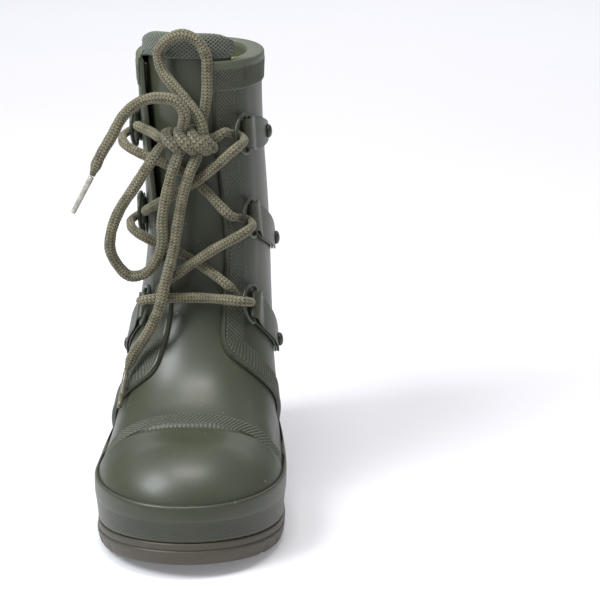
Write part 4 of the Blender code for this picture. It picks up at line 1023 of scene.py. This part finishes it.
def make_outsole():
    loop, outward = plan_outline(SIDE_POINTS)
    y = loop[:, 1]
    edge = BAND_OUT + 0.5 + lean_of(outward)
    low, high = spring(y), outsole_top(y)
    at_side = np.clip(np.abs(outward[:, 0]) * 1.6 - 0.2, 0, 1)
    # share of the height, offset outwards, how much the tread gaps cut in
    wall = [(1.0, -1.2, 0), (0.985, -0.5, 0), (0.95, -0.1, 0), (0.90, 0.0, 0), (0.80, 0.05, 0), (0.74, 0.1, 0),
            (0.715, -0.25, 0), (0.69, -0.3, 0), (0.665, 0.25, 0), (0.62, 0.55, 0), (0.58, 0.6, 0),
            (0.52, 0.55, 0.05), (0.47, 0.45, 0.3), (0.42, 0.3, 0.8), (0.36, 0.15, 1), (0.28, -0.1, 1),
            (0.20, -0.4, 1), (0.13, -0.8, 1), (0.07, -1.4, 1), (0.03, -2.1, 1), (0.0, -3.1, 1)]
    loops = []
    for share, out, cut in wall:
        z = low + (high - low) * share
        gap = tread_lift(y) / CLEAT_DEEP * cut * at_side * (0.15 + 0.85 * ease(-92, -66, y))
        z = np.maximum(z, low + tread_lift(y) * cut * (share < 0.4) * (0.4 + 0.6 * ease(-92, -66, y)))
        loops.append(np.column_stack([loop + outward * (edge + out - 2.4 * gap)[:, None], z]))
    loops = np.array(loops)
    count = len(loop)
    half, across = count // 2, 30
    bottom = []
    start = loops[-1]
    for c in range(half + 1):
        a, b = start[c], start[(count - c) % count]
        t = np.linspace(0, 1, across)[:, None]
        row = a * (1 - t) + b * t
        mid = np.minimum(t[:, 0], 1 - t[:, 0]) * np.linalg.norm(a - b)
        groove = tread_lift(row[:, 1])
        channel = 2.2 * np.exp(-((row[:, 0] / 2.2) ** 2)) * ease(3, 8, mid)
        row[:, 2] = spring(row[:, 1]) + np.maximum(groove, channel)
        row[0], row[-1] = a, b
        bottom.append(row)
    bottom = np.array(bottom)
    top = []
    for c in range(half + 1):
        a, b = loops[0][c], loops[0][(count - c) % count]
        t = np.linspace(0, 1, 4)[:, None]
        top.append(a * (1 - t) + b * t)
    top = np.array(top)
    points = np.concatenate([loops.reshape(-1, 3), bottom.reshape(-1, 3), top.reshape(-1, 3)])
    quads = np.concatenate([quads_of(len(wall), count, wrap_columns=True),
                            quads_of(half + 1, across) + loops.shape[0] * count,
                            quads_of(half + 1, 4) + loops.shape[0] * count + (half + 1) * across])
    place(object_from("sole_unit", points, quads, SOLE), "boot", "outsole")


def make_band():
    """Foxing band: a rolled lip at the top, a slight hollow and a fine line above the outsole."""
    loop, outward = plan_outline(SIDE_POINTS)
    y = loop[:, 1]
    lean = lean_of(outward)
    mouth, throat = band_mouth(MOUTH_OVERLAP), band_mouth(UPPER_OVERLAP)
    top, low = band_top(y), outsole_top(y) + 0.15
    loops = []
    for down, out in ((0.0, -1.9), (0.008, -1.5), (0.03, -1.15), (0.07, -0.85), (0.13, -0.6), (0.22, -0.3),
                      (0.32, -0.05), (0.40, 0.1), (0.42, -0.02), (0.44, 0.0), (0.6, 0.0), (0.8, 0.0),
                      (0.9, 0.1), (0.945, 0.15), (0.965, -0.15), (0.985, -0.5), (1.0, -0.7)):
        z = top + (low - top) * down
        loops.append(np.column_stack([loop + outward * (BAND_OUT + out + lean * down)[:, None], z]))
    inner = BAND_OUT - BAND_WALL
    loops.append(np.column_stack([loop + outward * (inner + lean)[:, None], low]))
    loops.append(np.column_stack([throat[:, :2], top - UPPER_OVERLAP - 4]))
    loops.append(np.column_stack([throat[:, :2], top - UPPER_OVERLAP]))
    loops.append(mouth)
    lip = (loop + outward * (BAND_OUT - 1.9)) * 0.5 + mouth[:, :2] * 0.5
    loops.append(np.column_stack([lip, top - 0.05]))
    loops = np.array(loops)
    way = travelled(loop)
    uv = np.stack(np.broadcast_arrays(way[None, :], loops[..., 2]), -1)
    down = (top[None, :] - loops[..., 2]) / (top - low)[None, :]
    smooth_part = 1 - ease(0.42, 0.45, down) * (1 - ease(0.91, 0.94, down))
    quads = quads_of(*loops.shape[:2], wrap_rows=True, wrap_columns=True)
    place(object_from("foxing", loops, quads, BAND, uv, smooth_part), "boot", "foxing_band")


def band_mouth(overlap):
    def half(side):
        stations, angles = sole_side(side, overlap, SIDE_POINTS)
        return skin(stations, angles, overlay_depth(stations) + 0.25)
    return both_sides(half)


# ============================ upper ============================

def spread(stations, lateral, medial, shares):
    """Grid of stations and angles between a lateral and a medial angle for each station."""
    angles = -lateral[:, None] * (1 - shares) + medial[:, None] * shares
    return np.repeat(stations[:, None], len(shares), 1), angles


def fan_rows(stations, overlap, shares):
    return spread(stations, hem(stations, -1, overlap), hem(stations, 1, overlap), shares)


def make_toe():
    overlap = UPPER_OVERLAP - 2
    shares = np.linspace(0, 1, 150)
    start = first_station(overlap)
    rows = start + (CAP_SEAM - start) * crowded(80, 0.03, 5) ** 1.5
    stations, angles = fan_rows(rows, overlap, shares)
    seam = CAP_SEAM + SEAM_SWEEP * (np.degrees(np.abs(angles)) / SWEEP_ANGLE) ** 2
    stations = start + (stations - start) * (seam - start) / (CAP_SEAM - start)
    angles = np.clip(angles, -hem(stations, -1, overlap), hem(stations, 1, overlap))
    cap = skinned("cap", stations, angles, OVERLAY[0], OVERLAY[1] + 0.15, RUBBER, (0, 1.3, 0, 0))
    place(cap, "boot", "toe_cap")

    shares = np.linspace(0, 1, 520)
    _, angles = fan_rows(np.full(40, TRIM_FROM), overlap, shares)
    share = np.linspace(0, 1, 40)[:, None]
    bend = (np.degrees(np.abs(angles)) / SWEEP_ANGLE) ** 2
    front, back = TRIM_FROM + SEAM_SWEEP * bend, TRIM_TO + TRIM_SWEEP * bend
    stations = front + (back - front) * share
    angles = np.clip(angles, -hem(stations, -1, overlap), hem(stations, 1, overlap))

    def trim_texture(across, down, distances):
        fade = ease(0, 26, across) * 0.5 + 0.5
        edge = ease(0, 1.2, distances[1]) * ease(0, 0.8, distances[0])
        return knurled(across, down, edge * fade)

    place(skinned("trim", stations, angles, -0.05, 0.75, KNURLED, (0.4, 1.6, 0, 0), texture=trim_texture),
          "boot", "toe_trim")


def corner_drop(share):
    """How much the tongue's top corners are rounded down, in stations."""
    return 0.34 * np.abs(2 * share - 1) ** 5


def make_tongue():
    start = first_station()
    rows = np.concatenate([start + (1.2 - start) * np.linspace(0, 1, 40) ** 1.5,
                           np.linspace(1.25, TONGUE_STATION, 150)])
    shares = np.linspace(0, 1, 110)
    stations, angles = spread(rows, tongue_reach(rows, -1), tongue_reach(rows, 1), shares)
    stations = stations - corner_drop(shares) * ease(TONGUE_STATION - 1.2, TONGUE_STATION, stations)
    corner = [float(quarter_edge(way, 8)[0][-1]) for way in (-1, 1)]

    def sink(distances):
        side = np.clip(-np.degrees(angles) / 60, 0, 1)
        drop = -1.7 * ease(6.4, 8.2, stations) * ease(0.35, 0.85, side)
        ripple = 0.25 * np.sin(distances[0] * 0.11) * ease(5.5, 7, stations)
        swell = 0.0
        for end, distance in zip(corner, distances[2:]):
            swell = swell + 2.0 * (1 - ease(3, 15, distance)) * ease(0.7, 1.0, stations) * (
                1 - ease(end - 0.12, end + 0.05, stations))
        return drop + ripple, swell

    vamp = skinned("vamp_and_tongue", stations, angles, VAMP[0], VAMP[1] + 0.05, RUBBER, rise=sink)
    place(vamp, "boot", "vamp")


def lift_of(side, stations, distance):
    """How far the quarter's free front edge stands off the tongue."""
    most = 2.2 if side < 0 else 0.7
    return most * ease(6.2, 8.4, stations) * (1 - ease(0, 12, distance))


def make_quarters():
    for name, side in SIDES.items():
        front = quarter_edge(side, 240)
        u = np.concatenate([np.linspace(0, 0.06, 14, endpoint=False), np.linspace(0.06, 1, 84)])
        seam = side * (math.pi - math.radians(0.25))
        top_station, end = front[0][0], heel_station()
        down = np.linspace(0, 1, 240)
        back = paced(np.linspace(top_station, end, 200), np.full(200, seam), down)
        share = np.linspace(0, 1, 600)
        stations = front[0][-1] + (end - front[0][-1]) * (1 - (1 - share) ** 2)
        angles = side * np.minimum(hem(stations, side), abs(seam))
        angles[0], angles[-1] = front[1][-1], seam
        foot = paced(stations, angles, u)
        top = paced(np.full(200, top_station), np.linspace(front[1][0], seam, 200), u)
        stations, angles = four_sided(front, back, foot, top)

        def shape(distances):
            gap = distances[2]
            border = 1.15 * (1 - ease(2.1, 2.7, gap))
            step = 0.45 * ease(13.2, 13.8, gap) * (1 - ease(22, 30, gap)) * ease(5.4, 7.0, stations)
            return lift_of(side, stations, gap), border + step

        wall = skinned(f"quarter_wall_{name}", stations, angles, *OVERLAY, RUBBER, (0, 0, 1.5, 0), rise=shape)
        place(wall, "boot", f"quarter_{name}")

        path = quarter_edge(side, 640)
        near = shifted(*path, side * STRIP_FROM)
        far = [evened(values, 11) for values in shifted(*path, side * STRIP_TO)]
        share = np.linspace(0, 1, 38)[:, None]
        keep = slice(20, -20)
        stations = (near[0] * (1 - share) + far[0] * share)[:, keep]
        angles = (near[1] * (1 - share) + far[1] * share)[:, keep]

        def strip_texture(across, down, distances):
            edge = ease(0, 0.9, distances[0]) * ease(0, 0.9, distances[1])
            return knurled(across, down, edge)

        def strip_rise(distances):
            return lift_of(side, stations, distances[0] + STRIP_FROM), 0.0

        strip = skinned(f"eyestay_strip_{name}", stations, angles, 1.6, TEXTURE[1] - 0.55, KNURLED,
                        (0.5, 0.7, 1, 1), rise=strip_rise, texture=strip_texture)
        place(strip, "boot", f"eyestay_{name}")


def make_back():
    rows = np.linspace(heel_station(1.0) + 0.06, COLLAR_STATION - 0.66, 150)
    reach = np.radians(9 - 3 * ease(6, 9, rows))
    shares = crowded(16, 0.12, 4)
    stations, angles = spread(rows, reach, reach, shares)
    strip = skinned("back_strip", stations, angles + math.pi, 1.9, BACKSTAY[1], RUBBER, (1, 1, 1.2, 1.2))
    place(strip, "boot", "backstay")


def make_inside():
    overlap = UPPER_OVERLAP - 1
    end = heel_station(overlap)
    fan = end - (end - 5.0) * np.linspace(1, 0, 40)[1:] ** 1.8
    start = first_station(overlap)
    rows = np.concatenate([start + (1.2 - start) * np.linspace(0, 1, 24) ** 1.5,
                           np.linspace(1.25, 5.0, 36), fan, np.linspace(end + 0.05, 10.9, 60)])
    reach = [np.where(rows >= end - 1e-6, math.pi - 1e-4, hem(rows, side, overlap)) for side in (-1, 1)]
    shares = np.linspace(0, 1, 110)
    stations, angles = spread(rows, *reach, shares)
    place(skinned("bootee", stations, angles, LINING[0], LINING[1], LIME), "boot", "lining")


def make_collar():
    start = math.radians(MEDIAL_EDGE[0][1] + 0.5)
    end = 2 * math.pi - math.radians(LATERAL_EDGE[0][1] + 0.5)

    def profile(angle):
        top = COLLAR_STATION
        front, back = math.radians(VAMP_REACH[1]), 2 * math.pi - math.radians(VAMP_REACH[-1])
        deep = float(ease(front, front + 0.1, angle) * (1 - ease(back - 0.1, back, angle)))
        leg = 0.3 * float(ease(front + 0.1, front + 0.2, angle) * (1 - ease(back - 0.2, back - 0.1, angle)))
        narrow = ((top + 0.09, 1.5), (top + 0.07, 0.9), (top + 0.04, 0.5), (top + 0.03, 0.5), (top + 0.02, 0.6),
                  (top + 0.015, 0.9))
        wide = ((top + 0.11, -2.2), (top + 0.07, -7.0), (top + 0.03 - leg / 4, -7.9), (top - leg, -7.8),
                (top - leg, -6.9), (top + 0.02, -6.9))
        inner = [tuple(n + (w - n) * deep for n, w in zip(*pair)) for pair in zip(narrow, wide)]
        front_lift = 2.6 * (1 - ease(0, 0.3, end - angle)) + 0.7 * (1 - ease(0, 0.3, angle - start))
        outer = [(top + 0.012, 2.1), (top - 0.57, 2.1), (top - 0.585, 2.6), (top - 0.56, 3.1), (top - 0.3, 3.3),
                 (top - 0.05, 3.5), (top + 0.04, 3.3), (top + 0.08, 2.6)]
        return [(s, o + front_lift) for s, o in outer] + [(s, o + front_lift * (1 - deep)) for s, o in inner]

    def texture(travel, along, total):
        # the outer face comes first: it runs from the foot of the band to the roll at the top
        face = ease(16.6, 17.8, along) * (1 - ease(28.2, 30.2, along))
        return knurled(travel, along, face)

    angles = np.linspace(start, end, 900)
    place(swept_round("collar_band", profile, angles, KNURLED, texture, 130), "boot", "collar_binding")


def make_tongue_top():
    start, end = -math.radians(TONGUE_TOP_REACH[-1] + 1), math.radians(TONGUE_TOP_REACH[1] + 1)

    def profile(angle):
        share = (angle - start) / (end - start)
        top, low = TONGUE_STATION - float(corner_drop(share)), COLLAR_STATION + 0.16
        puff = 1 - 0.5 * abs(2 * share - 1) ** 6
        return [(low, 0.1), (low, 1.2), (low + 0.08, 2.2 * puff), (top - 0.45, 3.0 * puff),
                (top - 0.05, 2.6 * puff), (top + 0.1, 1.4), (top + 0.16, -0.8), (top + 0.12, -3.2),
                (top - 0.05, -4.4), (top - 0.4, -4.9), (low, -4.2), (low, -2.2), (top + 0.02, -2.2),
                (top + 0.02, 0.1)]

    def texture(travel, along, total):
        holes = knurl(travel, along, 2.6, 2.2)
        face = ease(1.0, 2.0, along) * (1 - ease(total - 30, total - 28, along))
        return (KNURL_MIDDLE - holes) * KNURL_DEEP * face, 1 - holes * face

    place(swept_round("knit_binding", profile, np.linspace(start, end, 230), KNIT, texture, 170), "boot",
          "tongue_binding")


# ============================ rings, straps and rivets ============================

def ring_mesh(name, side, level):
    centre, up, _, _ = ring_frame(side, level)
    forward = ring_forward(side, level)
    half, deep, corner = RING_HEIGHT / 2, RING_DEPTH, RING_CORNER
    straight = [(u, 0.0) for u in np.linspace(-(half - corner), half - corner, 14)[1:-1]]
    turn = np.linspace(-math.pi / 2, 0, 8)
    bend = [(half - corner + corner * math.cos(a), corner + corner * math.sin(a)) for a in turn]
    sweep = np.linspace(0, math.pi, 44)[1:-1]
    bow = [(half * math.cos(a), corner + (deep - corner) * math.sin(a)) for a in sweep]
    flat = np.array(bend + bow + [(-u, f) for u, f in bend[::-1]] + straight)
    way = unit(np.roll(flat, -1, axis=0) - np.roll(flat, 1, axis=0))
    across = np.outer(way[:, 1], up) - np.outer(way[:, 0], forward)
    plane = np.cross(up, forward)
    middle = centre + np.outer(flat[:, 0], up) + np.outer(flat[:, 1], forward)
    spokes = np.linspace(0, 2 * math.pi, 16, endpoint=False)
    loops = np.array([m + RING_WIRE * (np.outer(np.cos(spokes), a) + np.outer(np.sin(spokes), plane))
                      for m, a in zip(middle, across)])
    quads = quads_of(len(loops), len(spokes), wrap_rows=True, wrap_columns=True)
    return place(object_from(f"ring_wire_{name}", loops, quads, METAL), f"ring_{name}", f"d_ring_{name}")


def strap_mesh(name, side, level):
    stations, angles, lengths, rivet = strap_way(side, level)
    centre, up, back, out = ring_frame(side, level)
    end = rivet + RIVET_INSET
    half_thick = STRAP_THICK / 2
    bar_height, turn = BORE + STRAP_THICK, BORE + half_thick
    round_end = 6.8
    begin = end - round_end
    v = np.concatenate([end - round_end * np.linspace(0, 1, 14) ** 2, np.linspace(begin, 2, 30)[1:]])
    v[0] = end - 0.02
    upper_w = 3 * half_thick + LAYER_GAP - 0.35
    drop = bar_height + turn - upper_w
    path = [(x, half_thick) for x in v]
    fold = -np.linspace(0.5, 1.5, 16) * math.pi
    path += [(turn * math.cos(a), bar_height + turn * math.sin(a)) for a in fold]
    path += [(x, upper_w + drop * (1 - float(ease(0, 9, x)))) for x in v[::-1]]
    path = np.array(path)
    way = unit(np.gradient(path, axis=0))
    side_on = np.column_stack([way[:, 1], -way[:, 0]])

    def half_width(x):
        full = STRAP_HALF + 2.0 * ease(0.8, 4.0, x)
        straight = full + (round_end - full) * ease(10, begin + 3, x)
        ball = np.sqrt(np.maximum(round_end ** 2 - np.clip(x - begin, 0, None) ** 2, 0.01))
        return np.where(x > begin, ball, straight)

    def strap_side(distance):
        square = ease(10, 0.8 * end, lengths)
        turned_way = shifted(stations, angles, side * distance)
        slid = stations + distance / np.linalg.norm(tangents(stations, angles)[0], axis=-1)
        return slid * (1 - square) + turned_way[0] * square, angles * (1 - square) + turned_way[1] * square

    shares = np.concatenate([[-1, -0.985, -0.95, -0.9], np.linspace(-0.82, 0.82, 12), [0.9, 0.95, 0.985, 1]])
    edge = np.sqrt(1 - np.clip((np.abs(shares) - 0.9) / 0.1, 0, 1) ** 2)
    rib = 0.16 * np.cos(np.clip(path[:, 0] - 3.2, -9, 30) * 2.6) * ease(1.5, 2.5, path[:, 0])
    rib = rib * (1 - ease(7.6, 8.6, path[:, 0])) * (np.arange(len(path)) > len(path) / 2)
    surfaces = []
    for sign in (1, -1):
        columns = []
        for share, round_off in zip(shares, edge):
            thick = half_thick * max(round_off, 0.05) * sign + rib * round_off * (sign > 0)
            profile = path + side_on * thick[:, None]
            moved = strap_side(share * half_width(lengths))
            spot = [np.interp(profile[:, 0], lengths, values) for values in moved]
            lying = skin(*spot, STRAP_BASE - 0.25 + profile[:, 1])
            stiff = (centre + np.outer(share * half_width(profile[:, 0]), up) + np.outer(profile[:, 0], back)
                     + np.outer(profile[:, 1] - bar_height, out))
            flat = ease(2, 9, profile[:, 0])[:, None]
            columns.append(stiff * (1 - flat) + lying * flat)
        surfaces.append(np.stack(columns, 1))
    strap = object_from(f"ring_strap_{name}", surfaces, sheet_quads(*surfaces[0].shape[:2]), RUBBER)
    return place(strap, "boot", f"strap_{name}")


def rivet_mesh(name, side, level):
    spot, axis = rivet_place(side, level)
    seat = STRAP_BASE + 2 * STRAP_THICK + LAYER_GAP - 0.5
    dome = [(RIVET_HEAD * math.cos(a), seat + 0.55 + (RIVET_DOME - 0.3) * math.sin(a))
            for a in np.radians(np.linspace(0, 90, 14))]
    profile = [(0, OVERLAY[0] + 0.3), (RIVET_SHANK, OVERLAY[0] + 0.3), (RIVET_SHANK, seat - 0.1),
               (RIVET_HEAD - 0.5, seat - 0.1), (RIVET_HEAD - 0.12, seat), (RIVET_HEAD, seat + 0.2)] + dome
    return place(turned(f"rivet_head_{name}", skin(*spot, 0.0), axis, profile, METAL), "boot", f"rivet_{name}")


def make_hardware():
    for side_name, side in SIDES.items():
        for level in range(len(RINGS)):
            name = f"{side_name}_{level + 1}"
            ring_mesh(name, side, level)
            strap_mesh(name, side, level)
            rivet_mesh(name, side, level)


def finish_hidden():
    """The CAD pieces that stay as they are get their own materials."""
    for look, names in ((FOAM, ("wedge_core", "footbed", "ankle_foam_medial", "ankle_foam_lateral")),
                        (BOARD, ("insole_board", "toe_puff", "heel_counter")), (STEEL, ("shank",))):
        for name in names:
            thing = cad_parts[name]
            thing.data.materials.clear()
            thing.data.materials.append(look)


make_stage()
make_lace()
make_outsole()
make_band()
make_toe()
make_tongue()
make_quarters()
make_back()
make_inside()
make_collar()
make_tongue_top()
make_hardware()
finish_hidden()
